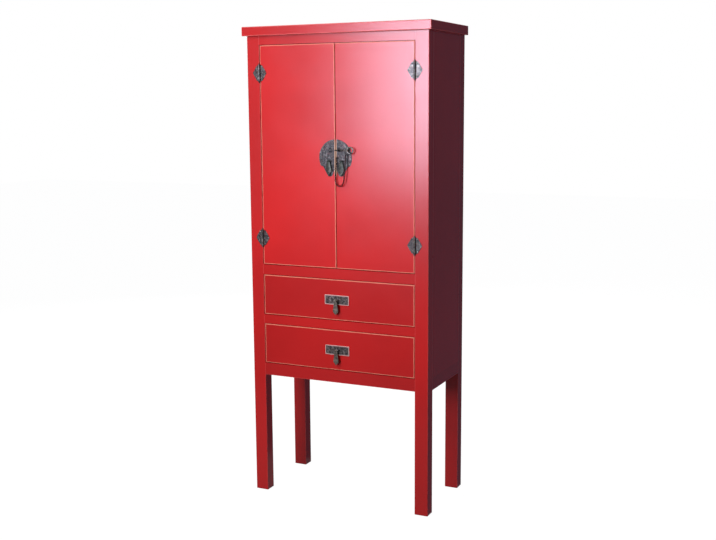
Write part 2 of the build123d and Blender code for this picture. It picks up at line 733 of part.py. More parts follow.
for before, after in zip(chain_runs, chain_runs[1:]):
    half_turn = radians(before.get_angle(after) / 2)
    chain_bends.append(CHAIN_BEND_SHARE * min(before.length, after.length) / tan(half_turn))
print("chain bends", [round(bend, 1) for bend in chain_bends])
with BuildPart() as lock_chain:
    with BuildLine() as chain_path:
        FilletPolyline(*chain_points, radius=chain_bends)
    sweep_wire(chain_path.wire(), CHAIN_RADIUS, Transition.TRANSFORMED)
print("chain length", round(chain_path.wire().length, 1))
save(lock_chain.part, "lock_chain")


# ---------------------------------------------------------------- drawers
box_inner = box_half - DRAWER_SIDE_THICK
drawer_back_y = front + DRAWER_FRONT_THICK
drawer_rear = panel_front - DRAWER_REAR_CLEAR


def drawer_places(opening):
    """Heights of a drawer's sides and of its bottom board."""
    low = opening[0] + RUNNER_CLEAR
    bottom = low + DRAWER_BOTTOM_RISE
    return (low, low + DRAWER_SIDE_HEIGHT), (bottom, bottom + DRAWER_BOTTOM_THICK)


def dovetails(side, sides_z, clear, mode):
    """Tails of one drawer side, which flare towards the drawer front, in the open part."""
    pitch = DRAWER_SIDE_HEIGHT / DOVETAIL_COUNT
    wide = pitch * DOVETAIL_SHARE / 2 + clear
    narrow = wide - DOVETAIL_FLARE
    x_low = mirrored(side, box_inner, box_half)[0]
    tip = drawer_back_y - DOVETAIL_LENGTH - clear
    for i in range(DOVETAIL_COUNT):
        z = sides_z[0] + (i + 0.5) * pitch
        corners = [(tip, z - wide), (drawer_back_y, z - narrow), (drawer_back_y, z + narrow), (tip, z + wide)]
        with BuildSketch(Plane(origin=(x_low - clear, 0, 0), x_dir=(0, 1, 0), z_dir=(1, 0, 0))) as tail:
            Polygon(*corners, align=None)
        extrude(tail.sketch, amount=DRAWER_SIDE_THICK + 2 * clear, mode=mode)


def make_drawer_front(opening):
    """The inset drawer front, with its dovetail sockets, bottom groove and staple holes."""
    sides_z, bottom_z = drawer_places(opening)
    middle = (opening[0] + opening[1]) / 2
    z = (opening[0] + DRAWER_GAP, opening[1] - DRAWER_GAP)
    with BuildPart() as face:
        block((-drawer_half, drawer_half), (front, drawer_back_y), z)
        chamfer(face.faces().sort_by(Axis.Y)[0].edges(), EDGE_EASE)
        for side in SIDES.values():
            dovetails(side, sides_z, JOINT_CLEAR, Mode.SUBTRACT)
        groove_reach = box_inner + GROOVE_DEPTH
        groove_z = (bottom_z[0] - JOINT_CLEAR, bottom_z[1] + JOINT_CLEAR)
        groove_y = (drawer_back_y - GROOVE_DEPTH, drawer_back_y)
        block((-groove_reach, groove_reach), groove_y, groove_z, Mode.SUBTRACT)
        bar_holes(0, middle, STAPLE_BITE + TACK_CLEAR)
    return face.part


def make_drawer_side(opening, side):
    """A drawer side with its tails and the groove that holds the bottom."""
    sides_z, bottom_z = drawer_places(opening)
    with BuildPart() as board:
        block(mirrored(side, box_inner, box_half), (drawer_back_y, drawer_rear), sides_z)
        dovetails(side, sides_z, 0, Mode.ADD)
        groove_z = (bottom_z[0] - JOINT_CLEAR, bottom_z[1] + JOINT_CLEAR)
        block(mirrored(side, box_inner, box_inner + GROOVE_DEPTH), (front, drawer_rear), groove_z, Mode.SUBTRACT)
    return board.part


def make_drawer_bottom(opening):
    """The thin bottom board, held in the grooves of the front and the sides."""
    bottom_z = drawer_places(opening)[1]
    reach = box_inner + GROOVE_DEPTH - JOINT_CLEAR
    with BuildPart() as board:
        block((-reach, reach), (drawer_back_y - GROOVE_DEPTH + JOINT_CLEAR, drawer_rear), bottom_z)
    return board.part


def make_drawer_back(opening):
    """The back board, which stands on the bottom board between the sides."""
    sides_z, bottom_z = drawer_places(opening)
    y = (drawer_rear - DRAWER_SIDE_THICK, drawer_rear)
    with BuildPart() as board:
        block((-box_inner, box_inner), y, (bottom_z[1], sides_z[1] - DRAWER_BACK_DROP))
    return board.part


def make_pull_plate(opening):
    """The oblong plate behind a drawer pull, with a raised rim."""
    middle = (opening[0] + opening[1]) / 2
    with BuildPart() as plate:
        with BuildSketch(front_plane(0, middle)):
            RectangleRounded(PULL_PLATE_WIDTH, PULL_PLATE_HEIGHT, PULL_PLATE_RIM / 2)
        extrude(amount=PLATE_THICK)
        with BuildSketch(front_plane(0, middle, PLATE_THICK)):
            RectangleRounded(PULL_PLATE_WIDTH, PULL_PLATE_HEIGHT, PULL_PLATE_RIM / 2)
            rim = 2 * PULL_PLATE_RIM
            Rectangle(PULL_PLATE_WIDTH - rim, PULL_PLATE_HEIGHT - rim, mode=Mode.SUBTRACT)
        extrude(amount=PULL_PLATE_RAISE)
        bar_holes(0, middle, 0)
    return plate.part


for name, opening in {"lower": lower_z, "upper": upper_z}.items():
    middle = (opening[0] + opening[1]) / 2
    save(make_drawer_front(opening), f"drawer_front_{name}")
    with BuildPart() as drawer_sides:
        for side in SIDES.values():
            add(make_drawer_side(opening, side))
    save(drawer_sides.part, f"drawer_sides_{name}")
    save(make_drawer_bottom(opening), f"drawer_bottom_{name}")
    save(make_drawer_back(opening), f"drawer_back_{name}")
    save(make_pull_plate(opening), f"pull_plate_{name}")
    save(bar_staple(0, middle, DRAWER_PULL_OUT, STAPLE_BITE), f"pull_staple_{name}")
    tongue = make_pull(
        0, middle, DRAWER_PULL_OUT, DRAWER_PULL_LENGTH, DRAWER_PULL_WIDTH, DRAWER_PULL_SHOULDER
    )
    save(tongue, f"drawer_pull_{name}")
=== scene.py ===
# %% [markdown]
# # A wedding cabinet in red lacquer
#
# The cabinet is tall and narrow. Two flat doors hang over two drawers, and four straight legs, which are
# the lower ends of the corner posts, carry it all. The boards, posts and iron fittings come as a packed
# model whose sizes are fixed. The cells below give them their finish: satin red lacquer with rubbed gold
# edges, stained wood inside, and old dark iron. Small parts, such as tacks, rings and chain links, are
# made here, in the place of the plain solids that stand for them.
#
# Everything is in metres. Z is up, X runs to the right, and the doors face -Y.

# %% Load the fixed frame
import json
import math

import bmesh
import bpy
from mathutils import Matrix, Vector

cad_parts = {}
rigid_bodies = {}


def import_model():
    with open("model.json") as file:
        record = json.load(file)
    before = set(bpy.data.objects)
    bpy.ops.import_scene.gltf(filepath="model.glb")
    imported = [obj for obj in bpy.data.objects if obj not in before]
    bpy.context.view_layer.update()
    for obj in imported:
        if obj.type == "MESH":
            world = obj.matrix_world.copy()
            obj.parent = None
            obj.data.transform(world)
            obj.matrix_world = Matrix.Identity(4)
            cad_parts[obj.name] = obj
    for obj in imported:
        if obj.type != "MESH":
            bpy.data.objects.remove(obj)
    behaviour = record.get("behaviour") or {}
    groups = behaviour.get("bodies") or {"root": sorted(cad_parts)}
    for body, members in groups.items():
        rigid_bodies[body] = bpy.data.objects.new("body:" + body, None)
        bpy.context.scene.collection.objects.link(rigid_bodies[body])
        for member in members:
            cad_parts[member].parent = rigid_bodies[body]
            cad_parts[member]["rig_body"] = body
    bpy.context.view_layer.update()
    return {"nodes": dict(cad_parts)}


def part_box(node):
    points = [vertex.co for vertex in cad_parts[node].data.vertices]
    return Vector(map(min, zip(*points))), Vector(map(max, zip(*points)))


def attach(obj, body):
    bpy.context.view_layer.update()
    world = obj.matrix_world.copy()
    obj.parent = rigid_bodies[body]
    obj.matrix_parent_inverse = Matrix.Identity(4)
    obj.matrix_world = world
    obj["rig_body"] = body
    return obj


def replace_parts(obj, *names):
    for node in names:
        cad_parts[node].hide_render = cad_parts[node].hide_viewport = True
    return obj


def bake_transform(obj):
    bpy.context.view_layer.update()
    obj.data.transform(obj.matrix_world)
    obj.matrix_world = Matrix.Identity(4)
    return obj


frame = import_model()
MM = 0.001

# %% [markdown]
# ## The camera
#
# A tall object looks natural when its upright edges stay almost upright, so the camera stands far away
# and looks a little down. A pan, a tilt and a slight roll are easier to read than a rotation matrix. The
# matrix is built from them: its columns are the camera's right, its up, and the way back to the viewer.

# %% Camera
PICTURE_WIDTH = 716
FOCAL_PIXELS = 1055.1
SENSOR_WIDTH = 36.0
PAN, TILT, ROLL = -0.4401, 0.1568, -0.0068
CAMERA_ASIDE, CAMERA_AWAY, CAMERA_HEIGHT = 1.53216, 3.08824, 1.34832

door_low, door_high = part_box("door_left")
face_y = door_low.y
camera_place = Vector((CAMERA_ASIDE, face_y - CAMERA_AWAY, CAMERA_HEIGHT))

forward = Vector((math.sin(PAN) * math.cos(TILT), math.cos(PAN) * math.cos(TILT), -math.sin(TILT)))
level_right = forward.cross(Vector((0, 0, 1))).normalized()
level_up = level_right.cross(forward)
camera_right = level_right * math.cos(ROLL) + level_up * math.sin(ROLL)
camera_up = level_up * math.cos(ROLL) - level_right * math.sin(ROLL)

camera = bpy.data.objects.new("camera", bpy.data.cameras.new("camera"))
bpy.context.scene.collection.objects.link(camera)
turn = Matrix((camera_right, camera_up, -forward)).transposed().to_4x4()
camera.matrix_world = Matrix.Translation(camera_place) @ turn
camera.data.sensor_width = SENSOR_WIDTH
camera.data.lens = FOCAL_PIXELS * SENSOR_WIDTH / PICTURE_WIDTH
bpy.context.scene.camera = camera
print("lens in mm:", round(camera.data.lens, 2))

# %% [markdown]
# ## Node trees as plain arithmetic
#
# Every finish below is a tree of nodes. Joining dozens of nodes by hand hides the idea behind them, so two
# small classes do it. `Finish` is one material, and its `node` method adds any node: first its settings,
# then the values or links of its sockets. `Tone` wraps one output socket, so that `1 - mask` or
# `grain * 0.3` adds the Math nodes by itself.

# %% Two helper classes
class Tone:
    """One number that changes over a surface, for use in plain arithmetic."""

    def __init__(self, finish, socket):
        self.finish = finish
        self.socket = socket

    def math(self, operation, *others):
        values = dict(enumerate((self, *others)))
        return self.finish.node("ShaderNodeMath", {"operation": operation}, values)

    def __add__(self, other):
        return self.math("ADD", other)

    def __radd__(self, other):
        return self.math("ADD", other)

    def __sub__(self, other):
        return self.math("SUBTRACT", other)

    def __rsub__(self, other):
        return self.finish.node("ShaderNodeMath", {"operation": "SUBTRACT"}, {0: other, 1: self})

    def __mul__(self, other):
        return self.math("MULTIPLY", other)

    def __abs__(self):
        return self.math("ABSOLUTE")

    def least(self, other):
        return self.math("MINIMUM", other)

    def most(self, other):
        return self.math("MAXIMUM", other)


class Finish:
    """A material, or the world, with one method that adds any node to its tree."""

    def __init__(self, owner):
        self.owner = owner
        owner.use_nodes = True
        self.tree = owner.node_tree
        self.tree.nodes.clear()

    def node(self, kind, settings=None, sockets=None, out=0):
        node = self.tree.nodes.new(kind)
        for name, value in (settings or {}).items():
            if name == "stops":
                self.set_stops(node.color_ramp, value)
            else:
                setattr(node, name, value)
        for key, value in (sockets or {}).items():
            if isinstance(value, Tone):
                self.tree.links.new(value.socket, node.inputs[key])
            else:
                node.inputs[key].default_value = value
        return Tone(self, node.outputs[out]) if node.outputs else node

    def set_stops(self, ramp, stops):
        while len(ramp.elements) < len(stops):
            ramp.elements.new(1.0)
        for element, (position, colour) in zip(ramp.elements, stops):
            element.position = position
            element.color = colour

    def place(self):
        """The point being shaded, as its X, Y and Z in metres."""
        point = self.node("ShaderNodeTexCoord", out="Object")
        return point, [self.node("ShaderNodeSeparateXYZ", None, {0: point}, out=axis) for axis in range(3)]

    def noise(self, point, scale, detail, roughness, stretch=(1, 1, 1), shift=(0, 0, 0)):
        mapped = self.node(
            "ShaderNodeMapping", None, {"Vector": point, "Scale": stretch, "Location": shift}
        )
        sockets = {"Vector": mapped, "Scale": scale, "Detail": detail, "Roughness": roughness}
        return self.node("ShaderNodeTexNoise", None, sockets)

    def fade(self, value, start, end, low=0.0, high=1.0):
        """A smooth step from `low` to `high` while the value goes from start to end."""
        sockets = {0: value, 1: start, 2: end, 3: low, 4: high}
        return self.node("ShaderNodeMapRange", {"interpolation_type": "SMOOTHSTEP"}, sockets)

    def blend(self, mask, below, above):
        """Colour `below` where the mask is 0 and colour `above` where it is 1."""
        return self.node("ShaderNodeMix", {"data_type": "RGBA"}, {0: mask, 6: below, 7: above}, out=2)

    def bump(self, height, distance, strength):
        sockets = {"Height": height, "Distance": distance, "Strength": strength}
        return self.node("ShaderNodeBump", None, sockets)

    def surface(self, **sockets):
        """The one shader of a material, joined to its output."""
        named = {name.replace("_", " "): value for name, value in sockets.items()}
        shader = self.node("ShaderNodeBsdfPrincipled", None, named)
        self.node("ShaderNodeOutputMaterial", None, {"Surface": shader})
        return self.owner


def colour(red, green, blue):
    """A screen colour from 0 to 255, as the linear colour that a shader wants."""
    def linear(value):
        value /= 255
        return value / 12.92 if value <= 0.04045 else ((value + 0.055) / 1.055) ** 2.4
    return (linear(red), linear(green), linear(blue), 1.0)


print("the middle grey of a screen is", [round(value, 3) for value in colour(128, 128, 128)])

# %% [markdown]
# ## Light
#
# Lacquer shows its quality in one broad, soft highlight. A lamp in front and to the left gives it: its
# mirror image lies at the upper right of the doors, and the roughness of the lacquer spreads it. A larger
# lamp above it softens the shadows, and is kept out of reflections, or it would make the red milky. A
# third lights the back for whoever walks round. The world is white for the camera and in reflections, and
# far weaker as a source of light, so that it only opens the shadows.

# %% World
AMBIENT = 0.16
SKY, WHITE = (0.86, 0.9, 1.0, 1.0), (1.0, 1.0, 1.0, 1.0)

world = Finish(bpy.data.worlds.new("studio"))
bpy.context.scene.world = world.owner


def seen_directly(finish):
    """1 for the camera and for reflections, and 0 for scattered light."""
    kinds = ("Camera", "Glossy", "Transmission")
    rays = [finish.node("ShaderNodeLightPath", out=f"Is {kind} Ray") for kind in kinds]
    return rays[0].most(rays[1]).most(rays[2])


seen = seen_directly(world)
tint = world.blend(seen, SKY, WHITE)
strength = AMBIENT + seen * (1 - AMBIENT)
backdrop = world.node("ShaderNodeBackground", None, {"Color": tint, "Strength": strength})
world.node("ShaderNodeOutputWorld", None, {"Surface": backdrop})

# %% Lamps
DOORS = Vector((0.0, face_y, 1.2))
DRAWERS = Vector((0.0, face_y, 0.75))
MIDDLE = Vector((0.0, 0.0, 0.9))
COOL, WARM, MILD = (0.80, 0.80, 1.0), (1.0, 0.97, 0.92), (1.0, 0.97, 0.94)


def area_lamp(name, place, aim, size, watts, tone, spread=180):
    """A rectangular lamp of a size in metres, turned to the point it lights, with its spread in degrees."""
    data = bpy.data.lights.new(name, "AREA")
    data.shape, data.spread = "RECTANGLE", math.radians(spread)
    data.size, data.size_y = size
    data.energy, data.color = watts, tone
    lamp = bpy.data.objects.new(name, data)
    bpy.context.scene.collection.objects.link(lamp)
    place = Vector(place)
    facing = (aim - place).to_track_quat("-Z", "Y").to_matrix().to_4x4()
    lamp.matrix_world = Matrix.Translation(place) @ facing
    return lamp


area_lamp("key_lamp", (-0.69, -3.1, 1.53), DOORS, (0.9, 1.15), 11.4, COOL, spread=66)
soft_lamp = area_lamp("soft_lamp", (-0.7, -2.3, 2.7), DRAWERS, (2.0, 1.4), 12.0, WARM, spread=90)
soft_lamp.visible_glossy = False
area_lamp("back_lamp", (-1.9, 2.7, 2.1), MIDDLE, (1.6, 1.6), 60.0, MILD)

# %% [markdown]
# The floor is one large sheet. It gives back a little of the lamps' light and glows for the camera, so it
# reads as white paper, and where the cabinet keeps the lamps away from it a soft shadow stays. In front of
# so much white, lacquer would look milky. Photographers put dark cards where the object would mirror the
# white room, and so does the second cell here. Only reflections see these cards. Two of them stand and four
# lie on the floor. The legs mirror the floor just in front of them, and the card there is paler.

# %% Floor
FLOOR_REACH = 12
PAPER_SCATTERING, PAPER_SEEN = (0.28, 0.28, 0.28, 1.0), (0.10, 0.10, 0.10, 1.0)
PAPER_GLOW = 0.975


def sheet(name, corners, material):
    """A flat sheet of the stage between four corners."""
    mesh = bpy.data.meshes.new(name)
    mesh.from_pydata(corners, [], [(0, 1, 2, 3)])
    mesh.materials.append(material)
    piece = bpy.data.objects.new(name, mesh)
    bpy.context.scene.collection.objects.link(piece)
    return piece


paper = Finish(bpy.data.materials.new("white_paper"))
direct = seen_directly(paper)
albedo = paper.blend(direct, PAPER_SCATTERING, PAPER_SEEN)
matt = paper.node("ShaderNodeBsdfDiffuse", None, {"Color": albedo})
glow = paper.node("ShaderNodeEmission", None, {"Strength": direct * PAPER_GLOW})
both = paper.node("ShaderNodeAddShader", None, {0: matt, 1: glow})
paper.node("ShaderNodeOutputMaterial", None, {"Surface": both})
signs = ((-1, -1), (1, -1), (1, 1), (-1, 1))
sheet("floor", [(FLOOR_REACH * x, FLOOR_REACH * y, 0) for x, y in signs], paper.owner)

# %% Dark cards
LEFT_TONE, NEAR_TONE, RIGHT_TONE = (0.10, 0.10, 0.13), (0.26, 0.26, 0.30), (0.11, 0.10, 0.15)
LIFT = 0.0005
FRONT_Y, NEAR_Y, UNDER_Y, BEHIND_Y = -5.5, -1.3, 0.2, 2.4
FAR_LEFT_X, LEFT_X, SPLIT_X, RIGHT_X = -6, -3, 0.33, 3.4
FRONT_END_X, BEHIND_END_X = -0.1, -0.4
FRONT_HEIGHT, BEHIND_HEIGHT = 4, 3


def standing(left, right, y, height):
    """The corners of an upright card that stands on the floor."""
    return [(left, y, 0), (right, y, 0), (right, y, height), (left, y, height)]


def lying(*corners):
    """The corners of a card just above the floor."""
    return [(x, y, LIFT) for x, y in corners]


def card(name, corners, tone):
    """A sheet of one dim colour that only reflections see."""
    finish = Finish(bpy.data.materials.new(name + "_paper"))
    dim = finish.node("ShaderNodeEmission", None, {"Color": (*tone, 1.0), "Strength": 1.0})
    finish.node("ShaderNodeOutputMaterial", None, {"Surface": dim})
    piece = sheet(name, corners, finish.owner)
    for ray in ("camera", "diffuse", "transmission", "volume_scatter", "shadow"):
        setattr(piece, f"visible_{ray}", False)
    return piece


left_foot = lying((FAR_LEFT_X, FRONT_Y), (FRONT_END_X, FRONT_Y), (SPLIT_X, NEAR_Y), (LEFT_X, NEAR_Y))
near_foot = lying((LEFT_X, NEAR_Y), (SPLIT_X, NEAR_Y), (SPLIT_X, UNDER_Y), (LEFT_X, UNDER_Y))
right_foot = lying((SPLIT_X, -0.5), (RIGHT_X, -2), (RIGHT_X, BEHIND_Y), (SPLIT_X, BEHIND_Y))
behind_foot = lying(
    (BEHIND_END_X, UNDER_Y), (SPLIT_X, UNDER_Y), (SPLIT_X, BEHIND_Y), (BEHIND_END_X, BEHIND_Y),
)
cards = [
    card("card_left", standing(FAR_LEFT_X, FRONT_END_X, FRONT_Y, FRONT_HEIGHT), LEFT_TONE),
    card("card_left_foot", left_foot, LEFT_TONE),
    card("card_near_foot", near_foot, NEAR_TONE),
    card("card_right", standing(BEHIND_END_X, RIGHT_X, BEHIND_Y, BEHIND_HEIGHT), RIGHT_TONE),
    card("card_right_foot", right_foot, RIGHT_TONE),
    card("card_behind_foot", behind_foot, RIGHT_TONE),
]
print("dark cards:", len(cards))

# %% [markdown]
# ## Red lacquer
# The red is also painted lighter and darker by board: paler on the doors, painted light, and darker on the
# drawers, the aprons and the back posts, painted shade.
#
# The boards are sprayed, sanded and sprayed again, and at the end the maker rubs the edges of the doors
# and drawers until a thin gold line shows. The posts, rails, sides and top board get a paler red line on
# their edges instead: rubbed wear, and a painted highlight for the light that their rounded edges catch.
# Lacquer is smooth but never perfect: there is a faint orange peel in it, the grain of the wood pushes
# through here and there, and the red is a little deeper in slow clouds.
#
# The line has to follow the edges of every board. A point on a box lies on an edge when two of its
# three distances to the sides are small, so the middle one of the three tells how far the edge is. That
# is cheap, and exact for boards. Where a side has no line, such as under a foot, its corner is moved out
# of reach.

# %% Lacquer
RED = colour(200, 31, 28)
# Painted light and shade: the doors get a paler red, where the lamps light them most, and the drawers, aprons
# and back posts a darker red, where less light reaches them.
LIT_DOOR_RED = colour(212, 33, 30)
SHADED_DRAWER_RED = colour(192, 29, 26)
SHADED_APRON_RED = colour(186, 30, 28)
SHADED_BACK_RED = colour(180, 27, 25)
DEEPER = 0.86
STAIN = colour(128, 44, 34)
STAIN_PALE = colour(160, 74, 54)
STAIN_DARK = colour(84, 26, 22)
HANDLED = colour(206, 168, 138)
GOLD = colour(240, 142, 112)
# Painted highlight: the paler red line on the edges of the posts, rails, sides and top board is rubbed wear
# and, at once, the light that their rounded edges catch.
RUBBED_AND_SHEEN = colour(228, 92, 84)
GOLD_WIDTH, RUBBED_SHEEN_WIDTH = 3.2 * MM, 2.0 * MM
GOLD_SHARE, TOP_RUBBED_SHEEN_SHARE, RUBBED_SHEEN_SHARE = 0.9, 0.75, 0.3
SEAM_WEAR = (4.5 * MM, 6.5 * MM)
HAND_SPAN = (48 * MM, 64 * MM)
OUT_OF_REACH = 0.05


def edge_distance(finish, axes, low, high):
    """How far the nearest edge of the box between two corners is, in metres."""
    gaps = []
    for axis, bottom, top in zip(axes, low, high):
        gaps.append((top - bottom) / 2 - abs(axis - (top + bottom) / 2))
    first, second, third = gaps
    return first.least(second).most(first.most(second).least(third))


def lacquer(name, low, high, line, line_width, line_share, tall=True, red=RED, hands=None, inner=None):
    """Red lacquer for the board between two corners, with a line of one colour on its edges: rubbed gold,
    or a paler red that is rubbed wear and a painted highlight at once.

    `hands` is the height at which people take hold of the door: there the lacquer beside the seam is worn.
    Nearer to the middle of the cabinet than `inner` the board shows its inner face, which is only stained.
    """
    finish = Finish(bpy.data.materials.new(name))
    point, axes = finish.place()
    clouds = finish.noise(point, 2.6, 3.0, 0.55)
    along = (14, 14, 0.9) if tall else (0.9, 14, 14)
    grain = finish.noise(point, 26.0, 3.0, 0.6, stretch=along)
    peel = finish.noise(point, 420.0, 1.0, 0.5)
    handled = finish.noise(point, 11.0, 4.0, 0.6)
    ragged = finish.noise(point, 34.0, 3.0, 0.65)
    distance = edge_distance(finish, axes, low, high)
    edge = finish.fade(distance + (ragged - 0.5) * line_width * 0.9, line_width * 0.55, line_width, 1.0, 0.0)
    line_mask = edge * finish.fade(ragged, 0.30, 0.46, 0.55, 1.0) * line_share
    deep = (*(part * DEEPER for part in red[:3]), 1.0)
    red = finish.blend(finish.fade(clouds, 0.35, 0.7), red, deep)
    red = finish.blend(finish.fade(grain, 0.52, 0.72, 0.0, 0.2), red, deep)
    base = finish.blend(line_mask, red, line)
    if hands:
        near_seam = finish.fade(abs(axes[0]) + (ragged - 0.5) * 3 * MM, *SEAM_WEAR, 1.0, 0.0)
        touched = near_seam * finish.fade(abs(axes[2] - hands), *HAND_SPAN, 1.0, 0.0)
        base = finish.blend(touched * finish.fade(handled, 0.3, 0.55, 0.6, 1.0), base, HANDLED)
    roughness = 0.20 + handled * 0.08 + line_mask * 0.2
    if inner:
        within = finish.fade(abs(axes[0]), inner + 0.2 * MM, inner + 0.7 * MM, 1.0, 0.0)
        base = finish.blend(within, base, finish.blend(finish.fade(grain, 0.35, 0.6), STAIN_DARK, STAIN))
        roughness = roughness + within * 0.4
    height = peel * 0.35 + grain * 0.5 - line_mask * 0.8
    return finish.surface(
        Base_Color=base, Roughness=roughness, Specular_IOR_Level=0.5,
        Normal=finish.bump(height, 0.12 * MM, 0.55),
    )


def dress(node, material):
    """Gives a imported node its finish, and leaves its mesh as it is."""
    piece = frame["nodes"][node]
    piece.data.materials.clear()
    piece.data.materials.append(material)


gilt = ["door_left", "door_right", "drawer_front_upper", "drawer_front_lower"]
posts = ["post_front_left", "post_front_right", "post_back_left", "post_back_right"]
plain = ["side_panel_left", "side_panel_right", "apron_left", "apron_right", "apron_front", "apron_back",
         "rail_drawers", "rail_waist", "rail_top", "rail_back_top"]
for node in gilt:
    low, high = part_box(node)
    if node == "door_right":
        low.x -= OUT_OF_REACH
    gilding = (f"lacquer_{node}", low, high, GOLD, GOLD_WIDTH, GOLD_SHARE)
    # The doors get a paler red, painted light, and the drawer fronts a darker red, painted shade.
    if node.startswith("door"):
        dress(node, lacquer(*gilding, red=LIT_DOOR_RED, hands=(low.z + high.z) / 2))
    else:
        dress(node, lacquer(*gilding, tall=False, red=SHADED_DRAWER_RED))
# The posts' edges get the paler line: rubbed wear and a painted highlight.
for node in posts:
    low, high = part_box(node)
    low.z -= OUT_OF_REACH
    # The back posts get a darker red: painted shade, as the cabinet keeps the light from them.
    tone = SHADED_BACK_RED if "back" in node else RED
    dress(node, lacquer(f"lacquer_{node}", low, high, RUBBED_AND_SHEEN, RUBBED_SHEEN_WIDTH, RUBBED_SHEEN_SHARE, red=tone))
low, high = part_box("top_board")
# The top board's edges get the paler line too: rubbed wear and a painted highlight.
dress("top_board", lacquer("lacquer_top_board", low, high, RUBBED_AND_SHEEN, GOLD_WIDTH, TOP_RUBBED_SHEEN_SHARE, tall=False))
body_low = Vector((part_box("post_front_left")[0].x, face_y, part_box("apron_front")[0].z))
body_high = Vector((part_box("post_front_right")[1].x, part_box("back_panel")[1].y, low.z))
# The rails, sides and aprons get the paler edge line: rubbed wear and a painted highlight.
rubbing_and_sheen = (body_low, body_high, RUBBED_AND_SHEEN, RUBBED_SHEEN_WIDTH, RUBBED_SHEEN_SHARE)
upright = lacquer("lacquer_sides", *rubbing_and_sheen, inner=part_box("side_panel_right")[0].x)
level = lacquer("lacquer_rails", *rubbing_and_sheen, tall=False)
# The aprons get a darker red: painted shade low on the cabinet, where less light reaches.
lowest = lacquer("shaded_lacquer_aprons", *rubbing_and_sheen, tall=False, red=SHADED_APRON_RED)
for node in plain:
    dress(node, upright if node.startswith("side") else lowest if node.startswith("apron") else level)
print("the body's edges lie between", body_low[:], "and", body_high[:])
print("lacquered boards:", len(gilt) + len(posts) + 1 + len(plain))

# %% [markdown]
# ## Wood inside
#
# Nobody lacquers the inside of such a cabinet with care. It gets one thin, matt red stain, and the wood
# shows through: long dark bands of grain, paler fibres and a rougher surface.

# %% Stained wood
def stained_wood(name, grain_axis, shift):
    """Thin stain on wood whose grain runs along one axis (0, 1 or 2)."""
    finish = Finish(bpy.data.materials.new(name))
    point, _ = finish.place()
    stretch = [9.0, 9.0, 9.0]
    stretch[grain_axis] = 0.55
    bands = finish.noise(point, 6.0, 5.0, 0.62, stretch=stretch, shift=shift)
    fibres = finish.noise(point, 40.0, 3.0, 0.7, stretch=stretch, shift=shift)
    blotches = finish.noise(point, 5.0, 2.0, 0.5, shift=shift)
    wood = finish.blend(finish.fade(bands, 0.34, 0.66), STAIN_DARK, STAIN)
    wood = finish.blend(finish.fade(fibres, 0.50, 0.74, 0.0, 0.7), wood, STAIN_PALE)
    wood = finish.blend(finish.fade(blotches, 0.5, 0.8, 0.0, 0.45), wood, STAIN_DARK)
    return finish.surface(
        Base_Color=wood, Roughness=0.62 + fibres * 0.22, Specular_IOR_Level=0.3,
        Normal=finish.bump(fibres * 0.7 + bands * 0.3, 0.35 * MM, 0.6),
    )


along_x = stained_wood("stain_along_x", 0, (0.3, 1.7, 0.2))
along_y = stained_wood("stain_along_y", 1, (2.1, 0.4, 1.3))
along_z = stained_wood("stain_along_z", 2, (0.8, 2.6, 0.9))
inside = {
    "shelf": along_x, "cupboard_floor": along_x, "bottom_board": along_x, "board_cleats": along_y,
    "runners_lower": along_y, "runners_upper": along_y, "back_panel": along_z,
    "battens_left": along_x, "battens_right": along_x,
}
for name in ("upper", "lower"):
    inside[f"drawer_sides_{name}"] = along_y
    inside[f"drawer_bottom_{name}"] = along_x
    inside[f"drawer_back_{name}"] = along_x
for node, material in inside.items():
    dress(node, material)
print("stained pieces:", len(inside))

# %% [markdown]
# ## Old iron
#
# The fittings are thin iron sheet and wire, blackened and then handled for years. Three things make old
# iron look real: a mottled colour that changes every few millimetres, a gloss that changes with it, and
# small dents. Where hands rub it, on raised edges, it gets brighter; the pale outline of a drawer's pull
# plate is that wear and a painted highlight at once.

# %% Iron
IRON_DARK = colour(34, 35, 37)
IRON = colour(88, 87, 85)
IRON_BRIGHT = colour(164, 158, 148)
IRON_WARM = colour(104, 80, 66)
# Painted highlight: the pale pink-white outline of the drawers' pull plates is rubbed wear and, at once, the
# light that their raised edges catch.
RIM_SHEEN = colour(242, 204, 192)
ENGRAVED_RADIUS, ENGRAVED_DROP = 47.0 * MM, 22 * MM


